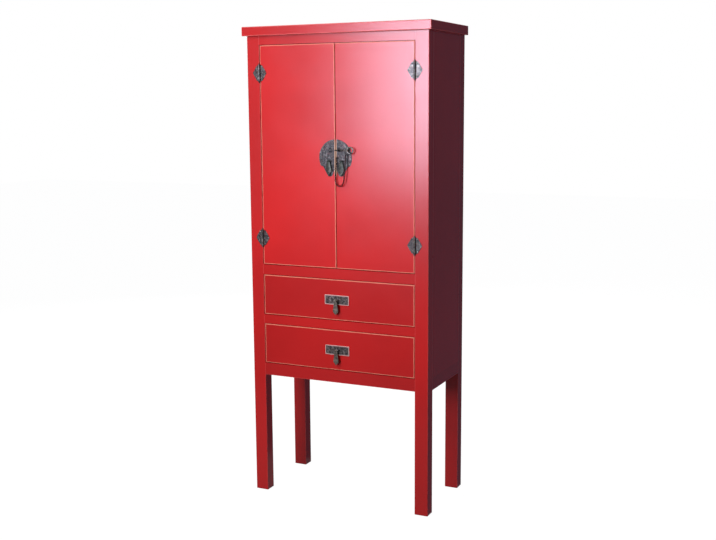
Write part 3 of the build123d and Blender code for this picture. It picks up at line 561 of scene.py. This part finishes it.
def iron(name, dark, middle, bright, warm, roughness=0.25, metallic=0.45, engraving=None, sheen_rim=None):
    """Blackened, handled iron.

    An engraving is a ring: its middle (x, z), its radius and its lowest z. The box given for a plate's
    outline marks where that outline is painted pale: rubbed wear and a painted highlight.
    """
    finish = Finish(bpy.data.materials.new(name))
    point, axes = finish.place()
    mottle = finish.noise(point, 520.0, 5.0, 0.75)
    patches = finish.noise(point, 140.0, 4.0, 0.7, shift=(3.0, 1.0, 2.0))
    rust = finish.noise(point, 110.0, 3.0, 0.65, shift=(7.0, 4.0, 1.0))
    dents = finish.noise(point, 190.0, 1.0, 0.5)
    metal = finish.blend(finish.fade(mottle * 0.5 + patches * 0.5, 0.38, 0.58), dark, middle)
    metal = finish.blend(finish.fade(patches * 0.7 + mottle * 0.3, 0.50, 0.64, 0.0, 0.6), metal, bright)
    metal = finish.blend(finish.fade(rust, 0.54, 0.68, 0.0, 0.6), metal, warm)
    height = dents * 0.6 + mottle * 0.4
    if engraving:
        (middle_x, middle_z), radius, floor_z = engraving
        across, up = axes[0] - middle_x, axes[2] - middle_z
        from_middle = (across * across + up * up).math("SQRT")
        groove = finish.fade(abs(from_middle - radius), 0.35 * MM, 0.8 * MM, 1.0, 0.0)
        groove = groove * finish.fade(axes[2], floor_z, floor_z + 2 * MM)
        metal = finish.blend(groove * 0.75, metal, dark)
        height = height - groove * 1.6
    if sheen_rim:
        low, high = sheen_rim
        inward = edge_distance(finish, axes, low, high)
        # The plate's outline is painted pale: rubbed wear and a painted highlight.
        worn = finish.fade(inward + (mottle - 0.5) * 1.2 * MM, 1.6 * MM, 2.6 * MM, 1.0, 0.0)
        metal = finish.blend(worn * 0.9, metal, RIM_SHEEN)
    return finish.surface(
        Base_Color=metal, Metallic=metallic, Roughness=roughness + mottle * 0.12, Specular_IOR_Level=0.3,
        Normal=finish.bump(height, 0.16 * MM, 0.5),
    )


lock_middle = (0.0, (door_low.z + door_high.z) / 2)
plain_iron = iron("old_iron", IRON_DARK, IRON, IRON_BRIGHT, IRON_WARM)
worn_iron = iron(
    "worn_iron", IRON_DARK, colour(128, 126, 120), colour(206, 200, 186), IRON_WARM,
    roughness=0.16, metallic=0.95,
)
# The lock staples are painted near-black: blackened iron, and painted shade for the shadows round their eyes.
shaded_black_iron = iron(
    "shaded_black_iron", colour(12, 10, 12), colour(38, 34, 36), colour(120, 116, 120), IRON_WARM,
    roughness=0.22, metallic=0.5,
)
door_pull_iron = iron(
    "door_pull_iron", colour(20, 24, 20), colour(50, 56, 48), colour(106, 108, 92), IRON_WARM, roughness=0.3,
)
pull_iron = iron("pull_iron", colour(64, 63, 58), colour(124, 118, 104), colour(176, 168, 150), IRON_WARM)
plate_iron = iron(
    "lock_plate_iron", colour(20, 20, 21), colour(68, 67, 66), colour(150, 145, 140), colour(92, 54, 52),
    engraving=(lock_middle, ENGRAVED_RADIUS, lock_middle[1] - ENGRAVED_DROP),
)
tack_iron = iron(
    "tack_iron", colour(72, 72, 70), colour(128, 126, 120), colour(206, 202, 192), IRON_WARM,
    roughness=0.2, metallic=0.8,
)
chain_iron = iron(
    "chain_iron", colour(22, 7, 7), colour(46, 15, 13), colour(80, 38, 32), colour(70, 24, 16),
    roughness=0.4, metallic=0.4,
)
print("iron finishes:", [item.name for item in bpy.data.materials if "iron" in item.name])

# %% [markdown]
# ## Sheet iron: leaves, plates and pulls
#
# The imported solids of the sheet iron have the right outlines, but their edges are knife sharp. Cut iron
# is always filed round, and those rounded edges catch the light. A copy of each mesh is cleaned, so that
# faces in one plane become one face, and a Bevel modifier then rounds what is left.

# %% Filed copies of the sheet iron
FILED_WIDTH = 0.28 * MM
SHARPER_THAN = math.radians(30)


def link_piece(name, mesh, material, body):
    """A new piece from a mesh in its place, which moves with one body."""
    piece = bpy.data.objects.new(name, mesh)
    bpy.context.scene.collection.objects.link(piece)
    mesh.materials.clear()
    mesh.materials.append(material)
    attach(piece, body)
    return piece


def applied(piece):
    """The mesh of a piece with its modifiers worked in."""
    piece_now = piece.evaluated_get(bpy.context.evaluated_depsgraph_get())
    return bpy.data.meshes.new_from_object(piece_now)


def body_of(node):
    return frame["nodes"][node]["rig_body"]


def shade(mesh, angle):
    mesh.polygons.foreach_set("use_smooth", [True] * len(mesh.polygons))
    mesh.set_sharp_from_angle(angle=math.radians(angle))


def clean_copy(node):
    """A copy of a node's mesh, its corners joined and its flat faces made one."""
    source = frame["nodes"][node].data
    mesh = bpy.data.meshes.new(node + "_filed")
    corners = [vertex.co[:] for vertex in source.vertices]
    mesh.from_pydata(corners, [], [face.vertices[:] for face in source.polygons])
    work = bmesh.new()
    work.from_mesh(mesh)
    bmesh.ops.remove_doubles(work, verts=work.verts, dist=0.002 * MM)
    bmesh.ops.dissolve_limit(work, angle_limit=math.radians(1), verts=work.verts, edges=work.edges)
    work.to_mesh(mesh)
    work.free()
    return mesh


def filed(node, material):
    """Replaces a sheet iron node by a copy with rounded edges."""
    rough = bpy.data.objects.new(node + "_rough", clean_copy(node))
    bpy.context.scene.collection.objects.link(rough)
    shade(rough.data, 180)
    bevel = rough.modifiers.new("filed edges", "BEVEL")
    bevel.width, bevel.segments = FILED_WIDTH, 2
    bevel.limit_method, bevel.angle_limit = "ANGLE", SHARPER_THAN
    flat = rough.modifiers.new("flat faces", "WEIGHTED_NORMAL")
    flat.mode, flat.weight = "FACE_AREA", 80
    mesh = applied(rough)
    bpy.data.objects.remove(rough)
    mesh.name = node + "_filed"
    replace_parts(link_piece(node + "_filed", mesh, material, body_of(node)), node)


sheet_iron = {"lock_plate_left": plate_iron, "lock_plate_right": plate_iron}
for side in ("left", "right"):
    sheet_iron[f"post_hinge_leaves_{side}"] = plain_iron
    sheet_iron[f"door_hinge_leaves_{side}"] = plain_iron
    sheet_iron[f"door_pull_{side}"] = door_pull_iron
for drawer in ("upper", "lower"):
    sheet_iron[f"drawer_pull_{drawer}"] = pull_iron
    # Each plate's outline is painted pale: rubbed wear and a painted highlight.
    sheet_iron[f"pull_plate_{drawer}"] = iron(
        f"pull_plate_iron_{drawer}", colour(28, 29, 29), colour(104, 98, 93), colour(180, 164, 156),
        IRON_WARM, sheen_rim=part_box(f"pull_plate_{drawer}"),
    )
for node, material in sheet_iron.items():
    filed(node, material)
print("filed pieces:", len(sheet_iron))

# %% [markdown]
# ## Bent wire: staples and links
#
# A staple is one length of wire, bent and driven through the wood, so its line is made of straight legs
# and of bends that are parts of a circle. A curve object with a round bevel then gives the wire its
# thickness, which is simpler than building its rings of points by hand.

# %% Bends and rods
def bend(centre, radius, start, end, steps=12):
    """Points on a part of a circle round a centre, from one angle to another in degrees."""
    points = []
    for step in range(steps + 1):
        angle = math.radians(start + (end - start) * step / steps)
        points.append((centre[0] + radius * math.cos(angle), centre[1] + radius * math.sin(angle)))
    return points


def rod(path, radius, closed=False):
    """A mesh of round wire along a path."""
    data = bpy.data.curves.new("rod", "CURVE")
    data.dimensions = "3D"
    data.bevel_depth, data.bevel_resolution, data.use_fill_caps = radius, 3, True
    spline = data.splines.new("POLY")
    spline.points.add(len(path) - 1)
    for point, place in zip(spline.points, path):
        point.co = (*place, 1.0)
    spline.use_cyclic_u = closed
    wire = bpy.data.objects.new("rod", data)
    bpy.context.scene.collection.objects.link(wire)
    mesh = applied(wire)
    bpy.data.objects.remove(wire)
    shade(mesh, 45)
    return mesh


def joined(name, meshes):
    """One mesh from several."""
    work = bmesh.new()
    for mesh in meshes:
        work.from_mesh(mesh)
    whole = bpy.data.meshes.new(name)
    work.to_mesh(whole)
    work.free()
    return whole


# %% Staples
WIRE_RADIUS = 1.4 * MM
FINE_WIRE_RADIUS = 1.1 * MM
PULL_WIRE_RADIUS = 1.5 * MM
BITE = 12.0 * MM
PIN_OUT = 11.5 * MM
ANCHOR_OUT = 7.5 * MM
LOCK_EYE, ANCHOR_EYE = 4.6 * MM, 2.1 * MM
DOOR_PULL_OUT, DRAWER_PULL_OUT = 6.0 * MM, 12.0 * MM
HALF_BAR = 7.2 * MM
BAR_BEND = 2.0 * MM


def middle_of(node):
    low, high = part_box(node)
    return (low + high) / 2


def eye_staple(node, out, half_height, wire):
    """A staple that ends in a round eye in front of the face."""
    spot = middle_of(node)
    deep, eye = face_y + BITE, face_y - out
    side_view = [(deep, half_height), *bend((eye, 0), half_height, 90, 270, 20), (deep, -half_height)]
    return rod([(spot.x, y, spot.z + z) for y, z in side_view], wire)


def bar_staple(node, out):
    """A staple with a level bar for a pull."""
    spot = middle_of(node)
    deep, turn_y, turn_x = face_y + BITE, face_y - out + BAR_BEND, HALF_BAR - BAR_BEND
    from_above = [(-HALF_BAR, deep), *bend((-turn_x, turn_y), BAR_BEND, 180, 270, 6)]
    from_above += [*bend((turn_x, turn_y), BAR_BEND, 270, 360, 6), (HALF_BAR, deep)]
    return rod([(spot.x + x, y, spot.z) for x, y in from_above], PULL_WIRE_RADIUS)


staples = {
    "lock_staple_left": eye_staple("lock_staple_left", PIN_OUT, LOCK_EYE, WIRE_RADIUS),
    "lock_staple_right": eye_staple("lock_staple_right", PIN_OUT, LOCK_EYE, WIRE_RADIUS),
    "chain_staple": eye_staple("chain_staple", ANCHOR_OUT, ANCHOR_EYE, FINE_WIRE_RADIUS),
    "pull_staple_left": bar_staple("pull_staple_left", DOOR_PULL_OUT),
    "pull_staple_right": bar_staple("pull_staple_right", DOOR_PULL_OUT),
    "pull_staple_upper": bar_staple("pull_staple_upper", DRAWER_PULL_OUT),
    "pull_staple_lower": bar_staple("pull_staple_lower", DRAWER_PULL_OUT),
}
for node, mesh in staples.items():
    mesh.name = node + "_wire"
    # The lock staples take the near-black iron: blackened, and painted shade for the shadows round their
    # eyes.
    wire = shaded_black_iron if node.startswith("lock") else worn_iron
    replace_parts(link_piece(node + "_wire", mesh, wire, body_of(node)), node)
print("staples:", len(staples))

# %% [markdown]
# ## Round about an axis: the lock pin and the hinges
#
# A pin, a roll of sheet and a finial are all round about one axis, so one function is enough for the three:
# it takes the outline as pairs of a place along the axis and a radius there, and turns it round that axis.

# %% Lathe
LATHE_STEPS = 32


def turned(outline, origin, axis, closed=False):
    """A mesh turned round the X or Z axis through a point. A closed outline makes a sleeve."""
    work = bmesh.new()
    rings = []
    for along, radius in outline:
        ring = []
        for step in range(LATHE_STEPS if radius > 0 else 1):
            angle = math.tau * step / LATHE_STEPS
            first, second = radius * math.cos(angle), radius * math.sin(angle)
            offset = (along, first, second) if axis == "X" else (first, second, along)
            ring.append(work.verts.new(Vector(origin) + Vector(offset)))
        rings.append(ring)
    for ring, after in zip(rings, rings[1:] + rings[:1] if closed else rings[1:]):
        for step in range(LATHE_STEPS):
            corners = [ring[step % len(ring)], ring[(step + 1) % len(ring)],
                       after[(step + 1) % len(after)], after[step % len(after)]]
            work.faces.new(list(dict.fromkeys(corners)))
    bmesh.ops.recalc_face_normals(work, faces=work.faces)
    mesh = bpy.data.meshes.new("turned")
    work.to_mesh(mesh)
    work.free()
    shade(mesh, 40)
    return mesh


# %% Lock pin, its ring and its link
PIN_RADIUS = 2.2 * MM
RING_RADIUS = 10.2 * MM
RING_WIRE = 2.3 * MM
RING_STEPS = 48
RING_FROM_END = 12.0 * MM
COLLAR_RADIUS = 2.65 * MM

pin_low, pin_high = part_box("lock_pin")
pin_y, pin_z = (pin_low.y + pin_high.y) / 2, (pin_low.z + pin_high.z) / 2
ring_x = pin_high.x - RING_FROM_END
shaft = ring_x - RING_RADIUS - pin_low.x
pin_outline = [(0, 0), (0.15 * MM, 1.0 * MM), (0.5 * MM, 1.6 * MM), (1.3 * MM, PIN_RADIUS)]
pin_outline += [(shaft - 5.2 * MM, PIN_RADIUS), (shaft - 4.9 * MM, COLLAR_RADIUS)]
pin_outline += [(shaft - 3.7 * MM, COLLAR_RADIUS), (shaft - 3.4 * MM, 1.9 * MM)]
pin_outline += [(shaft, 1.7 * MM), (shaft, 0)]
pin_mesh = turned(pin_outline, (pin_low.x, pin_y, pin_z), "X")
angles = [math.tau * step / RING_STEPS for step in range(RING_STEPS)]
ring_path = [
    (ring_x + RING_RADIUS * math.cos(angle), pin_y, pin_z + RING_RADIUS * math.sin(angle)) for angle in angles
]
ring_mesh = rod(ring_path, RING_WIRE, closed=True)
whole_pin = joined("lock_pin_turned", [pin_mesh, ring_mesh])
lock_pin = link_piece("lock_pin_turned", whole_pin, worn_iron, "lock_pin")
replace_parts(lock_pin, "lock_pin")

link_low, link_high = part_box("pin_link")
link_x = (link_low.x + link_high.x) / 2
half_wide = (link_high.y - link_low.y) / 2 - FINE_WIRE_RADIUS
upper_z = link_high.z - FINE_WIRE_RADIUS - half_wide
lower_z = link_low.z + FINE_WIRE_RADIUS + half_wide
side_view = [*bend((0, upper_z), half_wide, 0, 180), *bend((0, lower_z), half_wide, 180, 360)]
link_mesh = rod([(link_x, pin_y + y, z) for y, z in side_view], FINE_WIRE_RADIUS, closed=True)
link_mesh.name = "pin_link_wire"
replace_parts(link_piece("pin_link_wire", link_mesh, plain_iron, "lock_pin"), "pin_link")
print("pin length in mm:", round(shaft / MM, 1))

# %% [markdown]
# The barrel of a hinge is the sheet itself, rolled round the pin. The post's leaf has the two outer
# rolls and the door's leaf the one between them, so each roll has to turn with its own leaf.

# %% Hinge barrels and pins
LEAF_LENGTH = 54.0 * MM
ROLL_GAP = 0.4 * MM
ROLL_RADIUS = 4.06 * MM
ROLL_EASE = 0.3 * MM
BORE_RADIUS = 2.1 * MM
HINGE_PIN_RADIUS = 2.0 * MM
HINGE_FROM_END = 90.0 * MM
HINGE_BESIDE_DOOR = 1.0 * MM
HINGE_OUT = 4.3 * MM

hinge_spots = []
for side, sign in (("left", -1), ("right", 1)):
    low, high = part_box(f"door_{side}")
    hinge_x = (low.x if sign < 0 else high.x) + sign * HINGE_BESIDE_DOOR
    for height in (low.z + HINGE_FROM_END, high.z - HINGE_FROM_END):
        hinge_spots.append((side, Vector((hinge_x, face_y - HINGE_OUT, height))))


def rolled_sleeve(spot, which):
    """One roll of a barrel: 0 is the lowest, 1 the middle one and 2 the highest."""
    length = (LEAF_LENGTH - 2 * ROLL_GAP) / 3
    low = -LEAF_LENGTH / 2 + which * (length + ROLL_GAP)
    high = low + length
    outline = [(low, BORE_RADIUS), (low, ROLL_RADIUS - ROLL_EASE), (low + ROLL_EASE, ROLL_RADIUS)]
    outline += [(high - ROLL_EASE, ROLL_RADIUS), (high, ROLL_RADIUS - ROLL_EASE), (high, BORE_RADIUS)]
    return turned(outline, spot, "Z", closed=True)


def finial_pin(spot):
    """A hinge pin with a collar, a neck and a ball at each end."""
    end = (LEAF_LENGTH + ROLL_GAP) / 2
    upper = [(0, 3.3), (0.9, 3.3), (1.15, 3.0), (1.3, 1.7), (1.7, 1.5), (2.0, 1.9)]
    upper += [(2.6, 2.3), (3.3, 2.35), (4.0, 2.0), (4.5, 1.3), (4.75, 0.6), (4.8, 0)]
    upper = [(end + along * MM, radius * MM) for along, radius in upper]
    lower = [(-along, radius) for along, radius in reversed(upper)]
    return turned([*lower, (-end, HINGE_PIN_RADIUS), (end, HINGE_PIN_RADIUS), *upper], spot, "Z")


barrels = {"carcass": [], "left_door": [], "right_door": []}
for side, spot in hinge_spots:
    barrels["carcass"] += [rolled_sleeve(spot, 0), rolled_sleeve(spot, 2)]
    barrels[f"{side}_door"].append(rolled_sleeve(spot, 1))
for body, sleeves in barrels.items():
    mesh = joined(f"hinge_rolls_{body}", sleeves)
    link_piece(mesh.name, mesh, plain_iron, body)
pins_mesh = joined("hinge_pins_turned", [finial_pin(spot) for _, spot in hinge_spots])
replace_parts(link_piece(pins_mesh.name, pins_mesh, plain_iron, "carcass"), "hinge_pins")
print("hinges:", len(hinge_spots))

# %% [markdown]
# ## Tacks
#
# Thirty-two tacks hold the leaves and the lock plate, all hammered from the same stock, none quite
# like the next. That is work for Geometry Nodes: one domed head on a square shank is made once, put on a
# list of points, and given a small turn and a small change of size at each. A fixed seed keeps them the
# same every time.

# %% A node tree for tacks
def add(tree, kind, settings=None, sockets=None):
    """Adds a node to a geometry tree: settings first, then values or links of its sockets."""
    node = tree.nodes.new(kind)
    for name, value in (settings or {}).items():
        setattr(node, name, value)
    for key, value in (sockets or {}).items():
        if isinstance(value, bpy.types.NodeSocket):
            tree.links.new(value, node.inputs[key])
        else:
            node.inputs[key].default_value = value
    return node


def new_tree(name, inputs):
    """A geometry tree with named inputs, its input node and the identifiers of those inputs."""
    tree = bpy.data.node_groups.new(name, "GeometryNodeTree")
    tree.interface.new_socket("Geometry", in_out="INPUT", socket_type="NodeSocketGeometry")
    keys = {}
    for title, kind in inputs.items():
        keys[title] = tree.interface.new_socket(title, in_out="INPUT", socket_type=kind).identifier
    tree.interface.new_socket("Geometry", in_out="OUTPUT", socket_type="NodeSocketGeometry")
    return tree, tree.nodes.new("NodeGroupInput").outputs, keys


def grown(name, points, edges, tree, keys, values):
    """The plain mesh that a tree makes from a few points."""
    seedbed = bpy.data.meshes.new(name)
    seedbed.from_pydata([tuple(point) for point in points], edges, [])
    piece = bpy.data.objects.new(name, seedbed)
    bpy.context.scene.collection.objects.link(piece)
    modifier = piece.modifiers.new("grown", "NODES")
    modifier.node_group = tree
    for title, value in values.items():
        modifier[keys[title]] = value
    mesh = applied(piece)
    bpy.data.objects.remove(piece)
    mesh.name = name
    return mesh


tack_tree, given, tack_keys = new_tree("domed tacks", {
    "Head radius": "NodeSocketFloat", "Head height": "NodeSocketFloat", "Shank width": "NodeSocketFloat",
    "Shank length": "NodeSocketFloat", "Seed": "NodeSocketInt", "Metal": "NodeSocketMaterial",
})
ball = add(tack_tree, "GeometryNodeMeshUVSphere", None, {"Segments": 16, "Rings": 8, "Radius": 1.0})
flat = add(tack_tree, "ShaderNodeCombineXYZ", None, {
    0: given["Head radius"], 1: given["Head radius"], 2: given["Head height"]})
head = add(tack_tree, "GeometryNodeTransform", None, {
    "Geometry": ball.outputs[0], "Rotation": (math.pi / 2, 0, 0), "Scale": flat.outputs[0]})
bar = add(tack_tree, "ShaderNodeCombineXYZ", None, {
    0: given["Shank width"], 1: given["Shank length"], 2: given["Shank width"]})
shank = add(tack_tree, "GeometryNodeMeshCube", None, {"Size": bar.outputs[0]})
half_long = add(tack_tree, "ShaderNodeMath", {"operation": "MULTIPLY"}, {0: given["Shank length"], 1: 0.5})
behind = add(tack_tree, "ShaderNodeCombineXYZ", None, {1: half_long.outputs[0]})
driven = add(tack_tree, "GeometryNodeTransform", None, {
    "Geometry": shank.outputs[0], "Translation": behind.outputs[0]})
smooth_head = add(tack_tree, "GeometryNodeSetShadeSmooth", None, {"Geometry": head.outputs[0]})
tack = add(tack_tree, "GeometryNodeJoinGeometry")
tack_tree.links.new(smooth_head.outputs[0], tack.inputs[0])
tack_tree.links.new(driven.outputs[0], tack.inputs[0])
lean = add(tack_tree, "FunctionNodeRandomValue", {"data_type": "FLOAT_VECTOR"}, {
    0: (-0.10, -0.4, -0.10), 1: (0.10, 0.4, 0.10), "Seed": given["Seed"]})
growth = add(tack_tree, "FunctionNodeRandomValue", {"data_type": "FLOAT"}, {
    2: 0.92, 3: 1.04, "Seed": given["Seed"]})
placed = add(tack_tree, "GeometryNodeInstanceOnPoints", None, {
    "Points": given["Geometry"], "Instance": tack.outputs[0], "Rotation": lean.outputs[0],
    "Scale": growth.outputs[1]})
real = add(tack_tree, "GeometryNodeRealizeInstances", None, {0: placed.outputs[0]})
coated = add(tack_tree, "GeometryNodeSetMaterial", None, {
    "Geometry": real.outputs[0], "Material": given["Metal"]})
add(tack_tree, "NodeGroupOutput", None, {0: coated.outputs[0]})
print("tack tree nodes:", len(tack_tree.nodes))


# %% Tacks in place
HEAD_RADIUS, HEAD_HEIGHT = 2.35 * MM, 1.1 * MM
SHANK_WIDTH, SHANK_LENGTH = 1.3 * MM, 8.6 * MM
FIRST_SEED = 11


def heads(node):
    """Where each tack of a node has its head: the middle of its front, on the plate."""
    work = bmesh.new()
    work.from_mesh(clean_copy(node))
    waiting, spots = set(work.verts), []
    while waiting:
        island, edge = set(), [waiting.pop()]
        while edge:
            corner = edge.pop()
            island.add(corner)
            near = {line.other_vert(corner) for line in corner.link_edges} & waiting
            waiting -= near
            edge += near
        places = [corner.co for corner in island]
        widest = [(min(axis), max(axis)) for axis in zip(*places)]
        spots.append((sum(widest[0]) / 2, widest[1][0] + HEAD_HEIGHT, sum(widest[2]) / 2))
    work.free()
    return sorted(spots)


for seed, node in enumerate(("post_tacks", "door_tacks_left", "door_tacks_right"), FIRST_SEED):
    spots = heads(node)
    mesh = grown(f"{node}_domed", spots, [], tack_tree, tack_keys, {
        "Head radius": HEAD_RADIUS, "Head height": HEAD_HEIGHT, "Shank width": SHANK_WIDTH,
        "Shank length": SHANK_LENGTH, "Seed": seed, "Metal": tack_iron,
    })
    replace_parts(link_piece(mesh.name, mesh, tack_iron, body_of(node)), node)
    print(node, len(spots), "tacks")

# %% [markdown]
# ## The chain
#
# A thin chain ties the lock pin to the door, so that it isn't lost. It hangs in a narrow loop from a
# small staple to the link on the pin. A spline through a few points is its line, and Geometry Nodes put
# oval links on that line. Each link is turned a quarter against the one before it, or they wouldn't
# pass through each other.

# %% The line of the chain
LOCK_Z = lock_middle[1]
ROUTE = [
    (7.8, 7.5, -3.5),
    (5.6, 8.0, -24.0),
    (3.4, 8.2, -44.0),
    (2.8, 8.2, -60.0),
    (2.9, 8.2, -72.0),
    (4.0, 8.2, -82.0),
    (9.7, 8.4, -89.8),
    (18.6, 8.9, -92.8),
    (27.5, 9.8, -89.6),
    (33.2, 11.0, -81.6),
    (35.2, 11.8, -71.5),
    (36.8, 12.3, -60.0),
    (38.6, 12.7, -45.0),
    (40.4, 13.0, -25.0),
    (41.8, 13.0, -7.0),
    (42.0, 11.5, 11.0),
]

data = bpy.data.curves.new("chain_line", "CURVE")
data.dimensions = "3D"
spline = data.splines.new("NURBS")
spline.points.add(len(ROUTE) - 1)
for point, (across, out, rise) in zip(spline.points, ROUTE):
    point.co = (across * MM, face_y - out * MM, LOCK_Z + rise * MM, 1.0)
spline.order_u = 3
spline.use_endpoint_u = True
spline.resolution_u = 16
line = bpy.data.objects.new("chain_line", data)
bpy.context.scene.collection.objects.link(line)
line_mesh = applied(line)
bpy.data.objects.remove(line)
chain_path = [vertex.co.copy() for vertex in line_mesh.vertices]
chain_length = sum((after - before).length for before, after in zip(chain_path, chain_path[1:]))
print("chain length in mm:", round(chain_length / MM, 1))

# %% A node tree for links
link_tree, given, link_keys = new_tree("oval links", {
    "Links": "NodeSocketInt", "Link length": "NodeSocketFloat", "Link width": "NodeSocketFloat",
    "Wire radius": "NodeSocketFloat", "Seed": "NodeSocketInt", "Metal": "NodeSocketMaterial",
})
oval = add(link_tree, "GeometryNodeCurvePrimitiveQuadrilateral", None, {
    "Width": given["Link length"], "Height": given["Link width"]})
round_end = add(link_tree, "ShaderNodeMath", {"operation": "MULTIPLY"}, {0: given["Link width"], 1: 0.499})
oval_round = add(link_tree, "GeometryNodeFilletCurve", None, {
    "Curve": oval.outputs[0], "Radius": round_end.outputs[0], "Limit Radius": True})
section = add(link_tree, "GeometryNodeCurvePrimitiveCircle", None, {
    "Resolution": 6, "Radius": given["Wire radius"]})
link_shape = add(link_tree, "GeometryNodeCurveToMesh", None, {
    0: oval_round.outputs[0], 1: section.outputs[0]})
smooth_link = add(link_tree, "GeometryNodeSetShadeSmooth", None, {"Geometry": link_shape.outputs[0]})
hung = add(link_tree, "GeometryNodeMeshToCurve", None, {0: given["Geometry"]})
spaced = add(link_tree, "GeometryNodeResampleCurve", None, {
    "Curve": hung.outputs[0], "Count": given["Links"]})
tangent = add(link_tree, "GeometryNodeInputTangent")
ahead = add(link_tree, "FunctionNodeAlignRotationToVector", {"axis": "X"}, {
    "Vector": tangent.outputs[0]})
facing = add(link_tree, "FunctionNodeAlignRotationToVector", {"axis": "Z", "pivot_axis": "X"}, {
    "Rotation": ahead.outputs[0], "Vector": (0.0, -1.0, 0.0)})
number = add(link_tree, "GeometryNodeInputIndex")
odd = add(link_tree, "ShaderNodeMath", {"operation": "MODULO"}, {0: number.outputs[0], 1: 2.0})
quarter = add(link_tree, "ShaderNodeMath", {"operation": "MULTIPLY"}, {0: odd.outputs[0], 1: math.pi / 2})
wobble = add(link_tree, "FunctionNodeRandomValue", {"data_type": "FLOAT"}, {
    2: -0.16, 3: 0.16, "Seed": given["Seed"]})
roll = add(link_tree, "ShaderNodeMath", {"operation": "ADD"}, {0: quarter.outputs[0], 1: wobble.outputs[1]})
about = add(link_tree, "FunctionNodeAxisAngleToRotation", None, {
    "Axis": (1.0, 0.0, 0.0), "Angle": roll.outputs[0]})
rolled = add(link_tree, "FunctionNodeRotateRotation", {"rotation_space": "LOCAL"}, {
    "Rotation": facing.outputs[0], "Rotate By": about.outputs[0]})
placed = add(link_tree, "GeometryNodeInstanceOnPoints", None, {
    "Points": spaced.outputs[0], "Instance": smooth_link.outputs[0], "Rotation": rolled.outputs[0]})
real = add(link_tree, "GeometryNodeRealizeInstances", None, {0: placed.outputs[0]})
coated = add(link_tree, "GeometryNodeSetMaterial", None, {
    "Geometry": real.outputs[0], "Material": given["Metal"]})
add(link_tree, "NodeGroupOutput", None, {0: coated.outputs[0]})
print("link tree nodes:", len(link_tree.nodes))

# %% The chain
LINKS = 37
LINK_WIRE, LINK_WIDTH = 1.0 * MM, 4.6 * MM
LINK_SEED = 5
HOOKED = 0.7 * MM

first = chain_path[0] + (chain_path[0] - chain_path[1]).normalized() * HOOKED
last = chain_path[-1] + (chain_path[-1] - chain_path[-2]).normalized() * HOOKED
hanging = [first, *chain_path, last]
steps = [(step, step + 1) for step in range(len(hanging) - 1)]
pitch = (chain_length + 2 * HOOKED) / (LINKS - 1)
chain_mesh = grown("lock_chain_links", hanging, steps, link_tree, link_keys, {
    "Links": LINKS, "Link length": pitch + 2 * LINK_WIRE, "Link width": LINK_WIDTH, "Wire radius": LINK_WIRE,
    "Seed": LINK_SEED, "Metal": chain_iron,
})
chain = bpy.data.objects.new("lock_chain_links", chain_mesh)
bpy.context.scene.collection.objects.link(chain)
chain_mesh.materials.clear()
chain_mesh.materials.append(chain_iron)
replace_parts(chain, "lock_chain")
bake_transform(chain)
print("chain triangles:", sum(len(face.vertices) - 2 for face in chain_mesh.polygons))

# %% [markdown]
# ## The look of the picture
#
# The picture is shown as it is, without a film look.

# %% The end
bpy.context.scene.view_settings.view_transform = "Standard"
